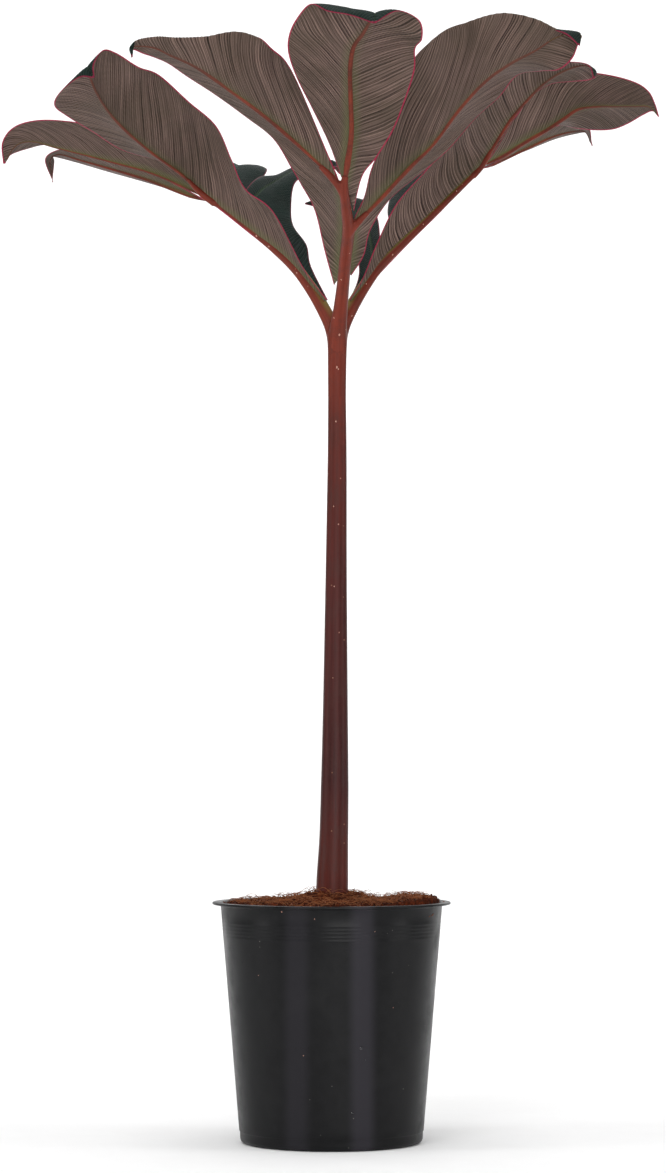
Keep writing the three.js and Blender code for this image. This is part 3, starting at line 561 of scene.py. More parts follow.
def bed_copy(name, reach):
    """A copy of the part of the bed that shows, for scattering on."""
    made = soil.copy()
    made.data = soil.data.copy()
    made.name = name
    bpy.context.scene.collection.objects.link(made)
    shape = bmesh.new()
    shape.from_mesh(made.data)
    hidden = [face for face in shape.faces
              if face.normal.z < STEEPEST or face.calc_center_median().xy.length > reach * MM]
    bmesh.ops.delete(shape, geom=hidden, context="FACES")
    shape.to_mesh(made.data)
    shape.free()
    made.data.materials.clear()
    return made


def random_value(tree, kind, low, high, seed):
    """A random number or vector for each point."""
    node = put(tree, "FunctionNodeRandomValue", data_type=kind)
    first = 0 if kind == "FLOAT_VECTOR" else 2
    for index, value in ((first, low), (first + 1, high), (8, seed)):
        feed(tree, node.inputs[index], value)
    return node.outputs[first // 2]


def seed_step(tree, given, step):
    """The tree's own seed, moved by a fixed step."""
    return math_node(tree, "ADD", given["Seed"], step)


def scattered(tree, given, copy, turn_low, turn_high, scale, tint_step):
    """Copies at random points of the surface, each turned at random, scaled and given a tint."""
    points = put(tree, "GeometryNodeDistributePointsOnFaces", Mesh=given["Geometry"],
                 Density=given["Density"], Seed=seed_step(tree, given, 0)).outputs["Points"]
    turn = random_value(tree, "FLOAT_VECTOR", turn_low, turn_high, seed_step(tree, given, 1))
    placed = put(tree, "GeometryNodeInstanceOnPoints", Points=points, Instance=copy, Rotation=turn,
                 Scale=scale).outputs[0]
    tint = random_value(tree, "FLOAT", 0.0, 1.0, seed_step(tree, given, tint_step))
    return put(tree, "GeometryNodeStoreNamedAttribute", data_type="FLOAT", domain="INSTANCE",
               Geometry=placed, Name="tint", Value=tint).outputs[0]


def roughened(tree, geometry, amount, scale):
    """Real geometry with every point moved by noise, so that no two copies look alike."""
    spot = put(tree, "GeometryNodeInputPosition").outputs[0]
    bumps = put(tree, "ShaderNodeTexNoise", Vector=spot, Scale=scale, Detail=1.0).outputs["Color"]
    centred = put(tree, "ShaderNodeVectorMath", bumps, (0.5, 0.5, 0.5), operation="SUBTRACT").outputs[0]
    scaled = put(tree, "ShaderNodeVectorMath", centred, operation="SCALE", Scale=amount).outputs[0]
    real = put(tree, "GeometryNodeRealizeInstances", geometry).outputs[0]
    return put(tree, "GeometryNodeSetPosition", Geometry=real, Offset=scaled).outputs[0]


def finish_tool(tree, geometry, end, finish):
    """The last nodes of every tree: smooth, real geometry with its material."""
    smooth = put(tree, "GeometryNodeSetShadeSmooth", geometry).outputs[0]
    real = put(tree, "GeometryNodeRealizeInstances", smooth).outputs[0]
    feed(tree, end, put(tree, "GeometryNodeSetMaterial", Geometry=real, Material=finish).outputs[0])


STEEPEST = 0.2  # the least upward part of the normal of a face that shows
FULL_TURN = 6.28
print("helpers for scattering ready")

# %% Crumbs
CRUMB_REACH = 76.0
crumb_tool, given, end = node_tool("scatter_crumbs", [
    ("Density", FLOAT, 40000.0), ("Smallest", FLOAT, 0.0005), ("Largest", FLOAT, 0.002),
    ("Seed", INTEGER, 4),
])
chunk = put(crumb_tool, "GeometryNodeMeshIcoSphere", Radius=1.0, Subdivisions=2).outputs["Mesh"]
shape = random_value(crumb_tool, "FLOAT_VECTOR", (0.5, 0.6, 0.35), (1.0, 1.3, 0.8),
                     seed_step(crumb_tool, given, 2))
size = random_value(crumb_tool, "FLOAT", given["Smallest"], given["Largest"],
                    seed_step(crumb_tool, given, 3))
sized = put(crumb_tool, "ShaderNodeVectorMath", shape, operation="SCALE", Scale=size).outputs[0]
crumbs = scattered(crumb_tool, given, chunk, (0, 0, 0), (FULL_TURN,) * 3, sized, 4)
finish_tool(crumb_tool, roughened(crumb_tool, crumbs, 0.0012, 700.0), end, crumb_finish)

crumbs = bed_copy("coir_crumbs", CRUMB_REACH)
apply_tool(crumbs, crumb_tool, Density=52000.0, Smallest=0.0004, Largest=0.0017, Seed=4)
settle(crumbs, "coir")

# %% Fibres
FIBRE_REACH = 70.0
fibre_tool, given, end = node_tool("scatter_fibres", [
    ("Density", FLOAT, 30000.0), ("Shortest", FLOAT, 0.006), ("Longest", FLOAT, 0.02),
    ("Thickness", FLOAT, 0.00016), ("Rise", FLOAT, 0.35), ("Seed", INTEGER, 21),
])
strand = put(fibre_tool, "GeometryNodeCurveQuadraticBezier", Resolution=7, Start=(-0.5, 0, 0),
             Middle=(0.05, 0.22, 0.3), End=(0.5, -0.05, 0.06)).outputs[0]
rise = given["Rise"]
fall = math_node(fibre_tool, "MULTIPLY", rise, -1.0)
turn_low = put(fibre_tool, "ShaderNodeCombineXYZ", fall, fall, 0.0).outputs[0]
turn_high = put(fibre_tool, "ShaderNodeCombineXYZ", rise, rise, FULL_TURN).outputs[0]
length = random_value(fibre_tool, "FLOAT", given["Shortest"], given["Longest"],
                      seed_step(fibre_tool, given, 2))
strands = scattered(fibre_tool, given, strand, turn_low, turn_high, length, 3)
bent = roughened(fibre_tool, strands, 0.009, 90.0)
section = put(fibre_tool, "GeometryNodeCurvePrimitiveCircle", Resolution=4, Radius=given["Thickness"])
tube = put(fibre_tool, "GeometryNodeCurveToMesh", Curve=bent, Profile_Curve=section.outputs[0],
           Fill_Caps=True).outputs[0]
finish_tool(fibre_tool, tube, end, fibre_finish)

fibres = bed_copy("coir_fibres", FIBRE_REACH)
apply_tool(fibres, fibre_tool, Density=60000.0, Shortest=0.004, Longest=0.017, Thickness=0.00014, Seed=21)
settle(fibres, "coir")

# %% [markdown]
# ## The tuber
# The stalk grows from a flattened tuber under the soil. Nobody sees it, so the frame's own solid
# stays, with a dry brown skin marked by the rings of its growth.

# %% Tuber skin
TUBER_TONES = ((0.1, 0.05, 0.026), (0.3, 0.18, 0.1))
RING_COLOUR = (0.06, 0.03, 0.018)
RING_RATE = 900.0  # radians to a metre of height

tuber_finish, tree, place, grain = material("tuber_skin", 260.0, 0.6, 0.85, Specular_IOR_Level=0.3)
height = put(tree, "ShaderNodeSeparateXYZ", place).outputs["Z"]
rings = math_node(tree, "SINE", math_node(tree, "MULTIPLY", height, RING_RATE))
brown = layered(tree, blend(tree, grain["Tone"], *TUBER_TONES),
                (remap(tree, rings, 0.4, 1.0, 0.0, 0.4), RING_COLOUR))
paint(tree, brown, grain["Roughness"], grain["Height"], 0.0006, 0.7)
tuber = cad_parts["tuber"]
tuber.data.materials.clear()
tuber.data.materials.append(tuber_finish)
print("material", tuber_finish.name)

# %% [markdown]
# ## Curves of the plant
# The plant's own lines are given as points along each branch, rib and leaf edge. The
# points are in millimetres as the eye meets them from the front, x and z as they appear at the
# pot's axis and y as the real depth, so each one is moved along its line of sight to its true
# place. A smooth curve through them gives as many points as a fine mesh needs.


# %% Curve helpers
def seen(point):
    """The true place, in metres, of x, height and depth as the eye meets them."""
    x, z, y = point
    nearness = 1 + y * MM / EYE_DISTANCE
    return (x * MM * nearness, y * MM, EYE_HEIGHT + (z * MM - EYE_HEIGHT) * nearness)


def smooth_line(points, shares):
    """Points at these shares, 0 to 1, of a smooth curve through the given points."""
    points = np.asarray(points, dtype=float)
    padded = np.vstack([2 * points[0] - points[1], points, 2 * points[-1] - points[-2]])
    place = np.clip(np.asarray(shares, dtype=float), 0, 1) * (len(points) - 1)
    low = np.minimum(place.astype(int), len(points) - 2)
    t = (place - low)[:, None]
    before, start, end, after = (padded[low + k] for k in range(4))
    leave, arrive = (end - before) / 2, (after - start) / 2
    turn = -3 * start + 3 * end - 2 * leave - arrive
    close = 2 * start - 2 * end + leave + arrive
    return start + leave * t + turn * t**2 + close * t**3


def normalised(vectors):
    return vectors / np.maximum(np.linalg.norm(vectors, axis=-1, keepdims=True), 1e-12)


def run_length(points, axis=0):
    """How far each point lies along its line, from the line's first point."""
    steps = np.linalg.norm(np.diff(points, axis=axis), axis=-1)
    start = np.zeros_like(steps.take([0], axis=axis))
    return np.concatenate([start, np.cumsum(steps, axis=axis)], axis=axis)


print("smooth curve through", len(smooth_line([(0, 0, 0), (1, 0, 1), (2, 0, 0)], [0, 0.5, 1])), "points")

# %% [markdown]
# ## The stalk
# One fleshy stalk rises from the tuber and divides into three branches, which fork again at their
# side leaflets. Each is a tube that tapers along its curve. A voxel remesh melts the overlapping
# tubes into one skin and rounds the forks as growth does. The place round and along the tubes is
# kept as an attribute, so that streaks can follow every branch.

# %% Stalk skin
DARK_TONES = ((0.016, 0.0065, 0.0075), (0.042, 0.013, 0.0135))
RED_TONES = ((0.12, 0.0205, 0.0115), (0.2, 0.033, 0.0175))
DULL_RED = (0.05, 0.022, 0.018)
SKIN_GREEN = (0.13, 0.14, 0.035)
SPECK_COLOUR = (0.3, 0.14, 0.09)

stalk_finish, tree, place, grain = material("stalk_skin", 600.0, 0.3, 0.5, Specular_IOR_Level=0.1)
along_skin = put(tree, "ShaderNodeAttribute", attribute_name="skin_place").outputs["Vector"]
streaks = use_grain(tree, along_skin, 420.0, 0.3, 0.46, Stretch=0.035)
specks = put(tree, "ShaderNodeGroup", node_tree=speck_group, Place=place, Scale=230.0, Size=0.16, Share=0.12)
skin = layered(
    tree, blend(tree, streaks["Tone"], *DARK_TONES),
    (attribute(tree, "redness"), blend(tree, streaks["Tone"], *RED_TONES)),
    (remap(tree, grain["Tone"], 0.3, 0.9, 0.0, 0.3), DULL_RED),
    (attribute(tree, "greenness"), SKIN_GREEN),
    (math_node(tree, "MULTIPLY", specks.outputs["Mask"], 0.5), SPECK_COLOUR),
)
relief = math_node(tree, "MULTIPLY_ADD", streaks["Height"], 0.7, grain["Height"])
paint(tree, skin, streaks["Roughness"], relief, 0.00025, 0.5)
print("material", stalk_finish.name)

# %% Stalk lines
PETIOLE = {
    "points": [
        (0, 94, 0), (0, 150, 0), (0.6, 186, 0), (1.6, 215, 0), (2.3, 251, 0), (2.8, 308, 0),
        (3.1, 358, 0), (3.5, 415, 0), (4.1, 487, 0), (4, 530, 0), (4.1, 560, 0), (4.3, 578, 0),
    ],
    "radii": [11.5, 11.7, 11.4, 10.4, 10, 9, 8.3, 7.6, 6.9, 6.5, 6.8, 7.4],
}
LEFT_BRANCH = {
    "points": [
        (3.4, 564, 0), (1, 580, 2), (-5.4, 594, 6), (-14.7, 609.7, 12), (-26.3, 625, 18),
        (-43.5, 641, 27.5), (-61.5, 655.2, 37), (-79.5, 669, 46), (-93, 678, 51),
    ],
    "radii": [5.6, 5.6, 5.1, 4.6, 4.2, 3.6, 3.2, 2.8, 2.5],
}
RIGHT_BRANCH = {
    "points": [
        (4.8, 564, 0), (7.2, 580, 2), (13.4, 594, 6), (22.8, 610, 12), (33.6, 625, 18),
        (49, 640.5, 26), (66.5, 657.3, 36), (85.3, 675.5, 45), (99.5, 689.5, 52), (108, 698, 55),
    ],
    "radii": [5.6, 5.6, 5.1, 4.5, 4.1, 3.5, 3, 2.7, 2.5, 2.3],
}
FRONT_BRANCH = {
    "points": [
        (4.3, 564, 0), (4.8, 580, -4), (6.5, 595, -12), (8.3, 612, -26), (10.3, 634, -48),
        (12, 652, -69), (10.6, 667, -87), (9, 682, -103), (10, 691, -110),
    ],
    "radii": [6.2, 6.2, 5.2, 4.6, 4.3, 4.2, 3.8, 3.2, 2.2],
}
FORKS = [
    {"points": [(12, 648, -65), (15, 653, -70.5), (20, 658.5, -74.5), (26, 664.5, -77.5)],
     "radii": [3.4, 3.2, 2.7, 1.9]},
    {"points": [(9.3, 676, -97), (5, 684, -103.5), (-2, 692, -108), (-8, 698, -111)],
     "radii": [3, 2.9, 2.5, 1.8]},
    {"points": [(-84, 671, 47), (-92, 677, 49), (-98, 682.5, 44), (-103, 688, 37)],
     "radii": [2.7, 2.6, 2.1, 1.45]},
    {"points": [(102, 691, 52), (108, 698, 54), (113, 706, 48), (116, 712, 41)],
     "radii": [2.5, 2.4, 2.0, 1.4]},
]
LIMBS = [PETIOLE, LEFT_BRANCH, RIGHT_BRANCH, FRONT_BRANCH, *FORKS]

# %% Stalk shape
TUBE_SIDES = 28
TUBE_STEP = 0.0025
FEWEST_STEPS = 8
END_BULGE = 0.45
SIDE_GUIDE = (0.3, 1.0, 0.1)  # a direction that no limb follows
STALK_VOXEL = 0.0008
STALK_SMOOTHING = 6


def tube(limb):
    """The points of a closed tube that tapers along the limb, its rings, its middle line and the
    direction of that line."""
    line = [seen(point) for point in limb["points"]]
    length = run_length(smooth_line(line, np.linspace(0, 1, 200)))[-1]
    shares = np.linspace(0, 1, max(int(length / TUBE_STEP), FEWEST_STEPS) + 1)
    middle = smooth_line(line, shares)
    radii = np.interp(shares, np.linspace(0, 1, len(limb["radii"])), limb["radii"]) * MM
    ahead = normalised(np.gradient(middle, axis=0))
    side = normalised(np.cross(ahead, SIDE_GUIDE))
    up = np.cross(ahead, side)
    turns = np.linspace(0, 2 * math.pi, TUBE_SIDES, endpoint=False)[None, :, None]
    ring = side[:, None] * np.cos(turns) + up[:, None] * np.sin(turns)
    skin_points = (middle[:, None] + ring * radii[:, None, None]).reshape(-1, 3)
    ends = [middle[k] + sign * ahead[k] * radii[k] * END_BULGE for k, sign in ((0, -1), (-1, 1))]
    return [*skin_points, *ends], len(shares), middle, ahead


vertices, faces, middles, aheads, limb_of, run = [], [], [], [], [], []
for number, limb in enumerate(LIMBS):
    points, rings, middle, ahead = tube(limb)
    faces += [tuple(corner + len(vertices) for corner in face) for face in capped_tube(rings, TUBE_SIDES)]
    vertices += points
    middles.append(middle)
    aheads.append(ahead)
    limb_of += [number] * rings
    run.append(run_length(middle))
stalk = new_object("stalk_skin", vertices, faces, [stalk_finish])
melt = stalk.modifiers.new("melt", "REMESH")
melt.mode = "VOXEL"
melt.voxel_size = STALK_VOXEL
relax = stalk.modifiers.new("relax", "SMOOTH")
relax.iterations = STALK_SMOOTHING
relax.factor = 0.5
plain_mesh(stalk)
stalk.data.shade_smooth()
print(len(stalk.data.vertices), "points in the stalk")

# %% Stalk attributes
REDNESS_AT = ([0.16, 0.2, 0.26, 0.38, 0.5, 0.56, 0.6, 0.66],
              [0.5, 0.36, 0.1, 0.2, 0.42, 0.8, 0.85, 0.8])
GREENEST = 0.8
GREEN_START = 0.585
SKIN_WIDTH = 0.008
BATCHES = 60

middles, aheads, run = np.vstack(middles), np.vstack(aheads), np.concatenate(run)
spots = np.empty(len(stalk.data.vertices) * 3)
stalk.data.vertices.foreach_get("co", spots)
spots = spots.reshape(-1, 3)
nearest = np.concatenate([
    np.argmin(((part[:, None] - middles[None]) ** 2).sum(-1), axis=1)
    for part in np.array_split(spots, BATCHES)
])
outward = normalised(spots - middles[nearest])
ahead = aheads[nearest]
facing_up = (outward * normalised(np.array([0, 0, 1.0]) - ahead * ahead[:, 2:3])).sum(-1)
facing_side = (outward * normalised(np.cross(ahead, SIDE_GUIDE))).sum(-1)
height = spots[:, 2]
greenness = np.clip((facing_up - 0.45) / 0.4, 0, 1) * np.clip((height - GREEN_START) / 0.02, 0, 1)
greenness *= np.isin(np.array(limb_of)[nearest], (1, 2))  # the left and right branches
point_values(stalk, "redness", np.interp(height, *REDNESS_AT))
point_values(stalk, "greenness", greenness * GREENEST)
point_values(stalk, "skin_place",
             np.stack([facing_side * SKIN_WIDTH, facing_up * SKIN_WIDTH, run[nearest]], axis=-1))
settle(stalk, "stalk_skin", "stalk")

# %% [markdown]
# ## Small things
# Pale flecks sit on the skin of the stalk, and drops of water, dust and scraps of fibre on the pot.
# A ray from the camera through a point of the view finds the place of each, and one Geometry Nodes
# tree sets a flattened bead there, square to the surface.


# %% Bead tool
def bead_tool(finish):
    tree, given, end = node_tool("place_" + finish.name, [("Swell", FLOAT, 1.0)])
    bead = put(tree, "GeometryNodeMeshIcoSphere", Radius=1.0, Subdivisions=3).outputs["Mesh"]
    aim, size = (put(tree, "GeometryNodeInputNamedAttribute", data_type="FLOAT_VECTOR", Name=name).outputs[0]
                 for name in ("aim", "size"))
    turn = put(tree, "FunctionNodeAlignRotationToVector", axis="Z", Vector=aim).outputs[0]
    swollen = put(tree, "ShaderNodeVectorMath", size, operation="SCALE", Scale=given["Swell"]).outputs[0]
    placed = put(tree, "GeometryNodeInstanceOnPoints", Points=given["Geometry"], Instance=bead,
                 Rotation=turn, Scale=swollen).outputs[0]
    finish_tool(tree, placed, end, finish)
    return tree


def set_beads(name, carrier, finish, slot, spots):
    """Beads on a carrier: x and z of each in the view, then its half width, length and depth, in mm."""
    surface = BVHTree.FromObject(carrier, bpy.context.evaluated_depsgraph_get())
    places, aims, sizes = [], [], []
    for x, z, width, length, depth in spots:
        place, normal, _, _ = surface.ray_cast(camera.location, Vector((x, 0, z)) * MM - camera.location)
        if place:
            places.append(place)
            aims.append(normal)
            sizes.append(Vector((width, length, depth)) * MM)
    piece = new_object(name, places, [], [])
    point_values(piece, "aim", aims)
    point_values(piece, "size", sizes)
    apply_tool(piece, bead_tool(finish), Swell=1.0)
    print(len(places), "of", len(spots), "places met")
    settle(piece, slot)


# %% Flecks on the skin
FLECK_TONES = ((0.3, 0.12, 0.085), (0.6, 0.36, 0.28))
fleck_finish, tree, place, grain = material("pale_fleck", 900.0, 0.5, 0.7, Specular_IOR_Level=0.1)
paint(tree, blend(tree, grain["Tone"], *FLECK_TONES), grain["Roughness"])
FLECKS = [
    (5.7, 576.3, 0.6, 0.8, 0.14), (3.9, 552.9, 0.5, 1.0, 0.14), (5, 551.6, 0.4, 0.6, 0.12),
    (14.7, 589.9, 0.45, 0.7, 0.12), (10.4, 579.9, 0.4, 0.5, 0.1), (1.8, 588.5, 0.5, 0.7, 0.12),
    (3.2, 513.9, 0.4, 0.6, 0.1), (6.5, 473, 0.4, 0.5, 0.1), (1.5, 452.9, 0.35, 0.5, 0.1),
    (5, 440, 0.4, 0.6, 0.1), (2, 395.5, 0.4, 0.5, 0.1), (5.5, 362.5, 0.35, 0.5, 0.1),
    (1, 330, 0.3, 0.4, 0.1), (-54, 647.6, 0.5, 0.8, 0.12), (-45, 640, 0.45, 0.6, 0.12),
    (-25, 621, 0.35, 0.5, 0.1), (7, 616, 0.6, 0.6, 0.14), (13, 635, 0.4, 0.5, 0.1),
    (44, 634, 0.5, 0.7, 0.12), (25, 613, 0.35, 0.5, 0.1), (66, 656, 0.35, 0.5, 0.1),
    (90, 680, 0.4, 0.5, 0.1), (-70, 661, 0.35, 0.5, 0.1),
]
set_beads("stalk_flecks", stalk, fleck_finish, "stalk_skin", FLECKS)

# %% Drops, dust and scraps on the pot
CLEAR = (0.8, 0.8, 0.8, 1)
water_finish, tree, place, grain = material("water_drop", 200.0, 0.02, 0.06, Transmission_Weight=1.0,
                                            IOR=1.33)
paint(tree, CLEAR, grain["Roughness"])
DROPS = [(21.2, 66.3, 1.1, 1.3, 0.7), (14.7, 20.4, 1.0, 1.1, 0.6), (24, 58, 0.5, 0.6, 0.3)]
set_beads("pot_drops", pot, water_finish, "pot_plastic", DROPS)
DUST = [
    (-35.5, 163.1, 0.4, 0.6, 0.15), (-12, 158, 0.25, 0.3, 0.1), (31, 149, 0.25, 0.3, 0.1),
    (-52, 118, 0.25, 0.35, 0.1), (44, 95, 0.25, 0.3, 0.1), (-20, 61, 0.3, 0.3, 0.1),
]
set_beads("pot_dust", pot, fleck_finish, "pot_plastic", DUST)
SCRAPS = [
    (72.1, 161, 0.35, 2.4, 0.3), (70, 160, 0.3, 1.2, 0.3), (80, 170.2, 0.8, 1.1, 0.6),
    (-77, 170.2, 0.6, 0.9, 0.5), (-30, 169.9, 0.5, 0.7, 0.4), (52, 170, 0.5, 0.8, 0.4),
]
set_beads("pot_scraps", pot, fibre_finish, "coir", SCRAPS)

# %% [markdown]
# ## The leaflets
# Each leaflet is a thin blade on both sides of a midrib that stands out below like a keel. The
# underside is purple brown with pale veins, the upper side blackish green with a soft gloss, and
# a crimson line runs along the margin. Lines given along the rib, the folds and the edges
# carry a fine grid of points. The grid is pushed up and down between the veins, thickened to a
# closed body, grooved above the rib and raised below it into the keel. The distances to the rib
# and to the margin and the number of the vein are kept as attributes for the materials.

# %% Lines of the leaflets
LEAFLETS = {}
LEAFLETS["leaflet_front_middle"] = {
    "ridge": 2.3,
    "rib": [
        (9, 683, -104), (11.5, 700, -117), (14.5, 722, -135), (14, 746, -156), (13.6, 768, -178),
        (16, 784, -196), (22.5, 794, -209), (28, 803, -221), (30.5, 807.5, -229), (31.5, 808.5, -236),
        (31, 801.5, -244),
    ],
    "first": [
        (8.2, 687, -105.5), (-2, 715, -122), (-14, 740, -147), (-25, 762, -170), (-31, 780, -192),
        (-30.5, 793, -204), (-25, 805, -214), (-15, 815.5, -223), (-3, 810.5, -234), (13, 807.5, -241),
        (30.7, 801.5, -244.5),
    ],
    "second": [
        (15.3, 662, -86), (22, 690, -103), (33, 705, -120), (45, 725, -142), (54, 748, -165),
        (60, 768, -186), (60.5, 783, -199), (65.5, 790.5, -221), (63.5, 803.5, -233), (48, 810.5, -240),
        (31.3, 801.5, -244.5),
    ],
}
LEAFLETS["leaflet_front_left"] = {
    "ridge": 2.3,
    "rib": [
        (5, 613, -25), (8.5, 636, -49), (9.5, 655, -72), (8, 671, -91), (4, 684, -104), (-9, 699, -111),
        (-32, 721, -125), (-57.7, 742, -140), (-84, 761, -154), (-99.3, 771, -163), (-114.4, 778, -171),
        (-129, 784.5, -180), (-144.5, 784.5, -188), (-143.8, 776.5, -190),
    ],
    "first": [
        (6, 614, -25), (9.5, 637, -50), (10, 656, -73), (8.6, 672, -92), (6, 686, -104), (-3, 708, -111),
        (-28, 766, -146), (-42.5, 783, -153), (-56, 792, -161), (-84, 787, -166), (-107, 786, -170),
        (-124, 786.5, -173), (-141, 784.5, -182), (-143.4, 776.5, -190),
    ],
    "first_fold": [
        *[None] * 7, (-50, 776, -150), (-64, 794.5, -168), (-90, 791.8, -175), (-112, 790.8, -182),
        (-127, 791, -187), (-142.5, 787.5, -190.5), None,
    ],
    "second": [
        (3.2, 607, -19.5), (-5, 637, -38), (-12, 666, -62), (-22, 685, -77), (-29, 697, -87),
        (-42, 718, -94), (-62, 734, -106), (-84, 750, -120), (-104, 763, -137), (-117, 772, -151),
        (-126.6, 776.4, -162), (-136, 779.6, -176), (-143, 782, -186), (-144.2, 776.5, -190),
    ],
}
LEAFLETS["leaflet_front_right"] = {
    "ridge": 2.3,
    "rib": [
        (10.5, 618, -30), (14, 638, -52), (17, 654, -72), (26, 664, -77), (40, 680, -85), (56, 697, -93),
        (73, 714.5, -102), (91.5, 739, -111), (110, 759, -121), (128, 772, -131), (147, 782, -141),
        (162, 791.5, -150), (178.5, 795, -158), (178.7, 785, -164),
    ],
    "first": [
        (9.5, 619, -30), (13, 639, -53), (15.6, 658, -73), (23.6, 676, -83), (29, 697, -95), (42, 727, -104),
        (52, 763, -110), (68, 785, -116), (92, 796, -126), (116, 802, -137), (141, 799, -146),
        (160, 796.5, -153), (170, 793, -165), (178, 785.5, -165),
    ],
    "first_fold": [
        *[None] * 6, (60, 757, -114), (80, 793, -126), (99, 802.5, -136), (122, 808.5, -146),
        (146, 804.5, -152), (162, 797.5, -155), None, None,
    ],
    "second": [
        (12.6, 616.5, -27), (23, 633, -40), (28, 652, -56), (42, 674, -62), (62, 691, -67), (84, 710, -74),
        (104, 733, -82), (121, 748.5, -92), (134, 764, -104), (151, 767, -120), (164, 768, -140),
        (173.5, 776, -154), (178, 787, -161), (179, 785, -163),
    ],
}
LEAFLETS["leaflet_left_upper"] = {
    "ridge": 1.8,
    "rib": [
        (-3, 596, 2), (-24, 621, 14), (-46, 641, 26), (-70, 660, 38), (-93, 678, 49), (-108, 692.5, 32),
        (-128, 707, 2), (-147, 723, -24), (-160, 737, -45), (-169, 751, -64), (-174, 763, -80),
        (-175.5, 770, -90), (-171, 762, -97),
    ],
    "first": [
        (-0.5, 598, -1), (-20, 624, 2), (-42, 665, 4), (-62, 681.5, 8), (-72, 703, 8), (-83, 727, -8),
        (-103, 745, -28), (-124, 764, -46), (-139, 770, -64), (-155, 780, -80), (-164.5, 782, -90),
        (-171, 772, -96), (-170.6, 762, -97),
    ],
    "second": [
        (-4, 595, 3), (-25, 620, 15), (-47, 640, 27), (-71, 659, 38.5), (-94, 678, 49.5), (-117, 699, 37),
        (-150, 709.5, 15), (-172, 723, -8), (-190, 734, -30), (-199.5, 742, -50), (-195, 752, -72),
        (-182, 762, -90), (-171.4, 762, -97),
    ],
}
LEAFLETS["leaflet_left_outer"] = {
    "ridge": 1.6,
    "rib": [
        (-91.5, 675.9, 51.8), (-108, 684.8, 63), (-130, 694, 71), (-152, 700, 82), (-175, 706, 94),
        (-197, 711.5, 106), (-215, 716, 116), (-227, 713, 123), (-235.6, 699.5, 130),
    ],
    "first": [
        (-92, 676.4, 51.4), (-118, 699, 53), (-148, 716, 56), (-172, 727, 66), (-194, 731, 78),
        (-214, 731, 92), (-229, 726, 106), (-237, 715, 119), (-236.2, 699.5, 129.5),
    ],
    "second": [
        (-91, 675.5, 52.6), (-110, 689.5, 80), (-135, 700.5, 100), (-160, 707, 114), (-184, 711.5, 128),
        (-205, 713.5, 137), (-219, 710.5, 139), (-231, 706, 136), (-235, 699.5, 130.5),
    ],
}
LEAFLETS["leaflet_left_under"] = {
    "ridge": 1.9,
    "rib": [
        (-86.3, 671.8, 48.3), (-108, 679.6, 76), (-132, 688.7, 98), (-157, 696.3, 118), (-180, 702.8, 134),
        (-196, 707, 142), (-203, 702, 151), (-200.5, 686, 156),
    ],
    "first": [
        (-86.8, 671.4, 47.6), (-110, 684, 72), (-138, 697, 90), (-163, 704, 104), (-184, 709, 118),
        (-196, 710, 128), (-206, 703, 140), (-200, 686, 156),
    ],
    "first_fold": [
        None, (-109, 681.8, 74), (-135, 692.9, 94), (-160, 700.1, 111), (-182, 705.9, 126),
        (-196, 708.5, 135), (-204.5, 702.5, 145.5), None,
    ],
    "second": [
        (-85.8, 672.2, 49), (-107, 678.5, 104), (-134, 686.5, 132), (-161, 694.1, 152), (-183, 700.6, 162),
        (-200, 704.8, 164), (-199.5, 701.5, 160), (-201, 686, 156),
    ],
    "second_fold": [
        None, (-107.5, 679, 90), (-133, 687.6, 115), (-159, 695.2, 135), (-181.5, 701.7, 148),
        (-198, 705.9, 153), (-201.2, 701.8, 155.5), None,
    ],
}
LEAFLETS["leaflet_left_rear"] = {
    "ridge": 1.9,
    "rib": [
        (-83, 671.5, 46.5), (-85, 678, 72), (-84, 687, 100), (-80, 695, 130), (-72, 697.5, 160),
        (-64, 696.5, 184), (-60, 692, 205),
    ],
    "first": [
        (-81.8, 670.8, 46.5), (-70, 669.5, 68), (-60, 677.5, 92), (-52.5, 686, 122), (-46.5, 694.5, 152),
        (-50, 697, 184), (-59.5, 692, 205),
    ],
    "second": [
        (-84.2, 672, 47), (-95, 684, 73), (-105, 695, 100), (-108, 700, 130), (-99, 705, 160),
        (-82, 702, 184), (-60.5, 692, 205),
    ],
}
LEAFLETS["leaflet_left_inner"] = {
    "ridge": 1.9,
    "rib": [
        (-4, 595.5, 5), (-28, 623.5, 21), (-52, 645, 35), (-62, 664, 56), (-52, 679, 82), (-42, 686, 106),
        (-32, 692, 130), (-20, 699, 155), (-6, 702.5, 176), (3, 701, 190), (6.5, 692, 198),
    ],
    "first": [
        (-1, 598, 7), (-14.5, 625, 24), (-18, 641, 38), (-27.5, 655, 56), (-29, 669, 82), (-27, 684, 106),
        (-20, 691, 130), (-10, 695, 152), (-1, 697, 172), (5, 697, 188), (7, 692, 198),
    ],
    "second": [
        (-5, 595, 5), (-29, 623, 21), (-55, 648, 38), (-67, 668, 58), (-60, 683, 86), (-51, 690.5, 112),
        (-43, 690, 134), (-32, 694, 160), (-16, 699, 182), (-3, 700, 194), (6, 692, 198.5),
    ],
}
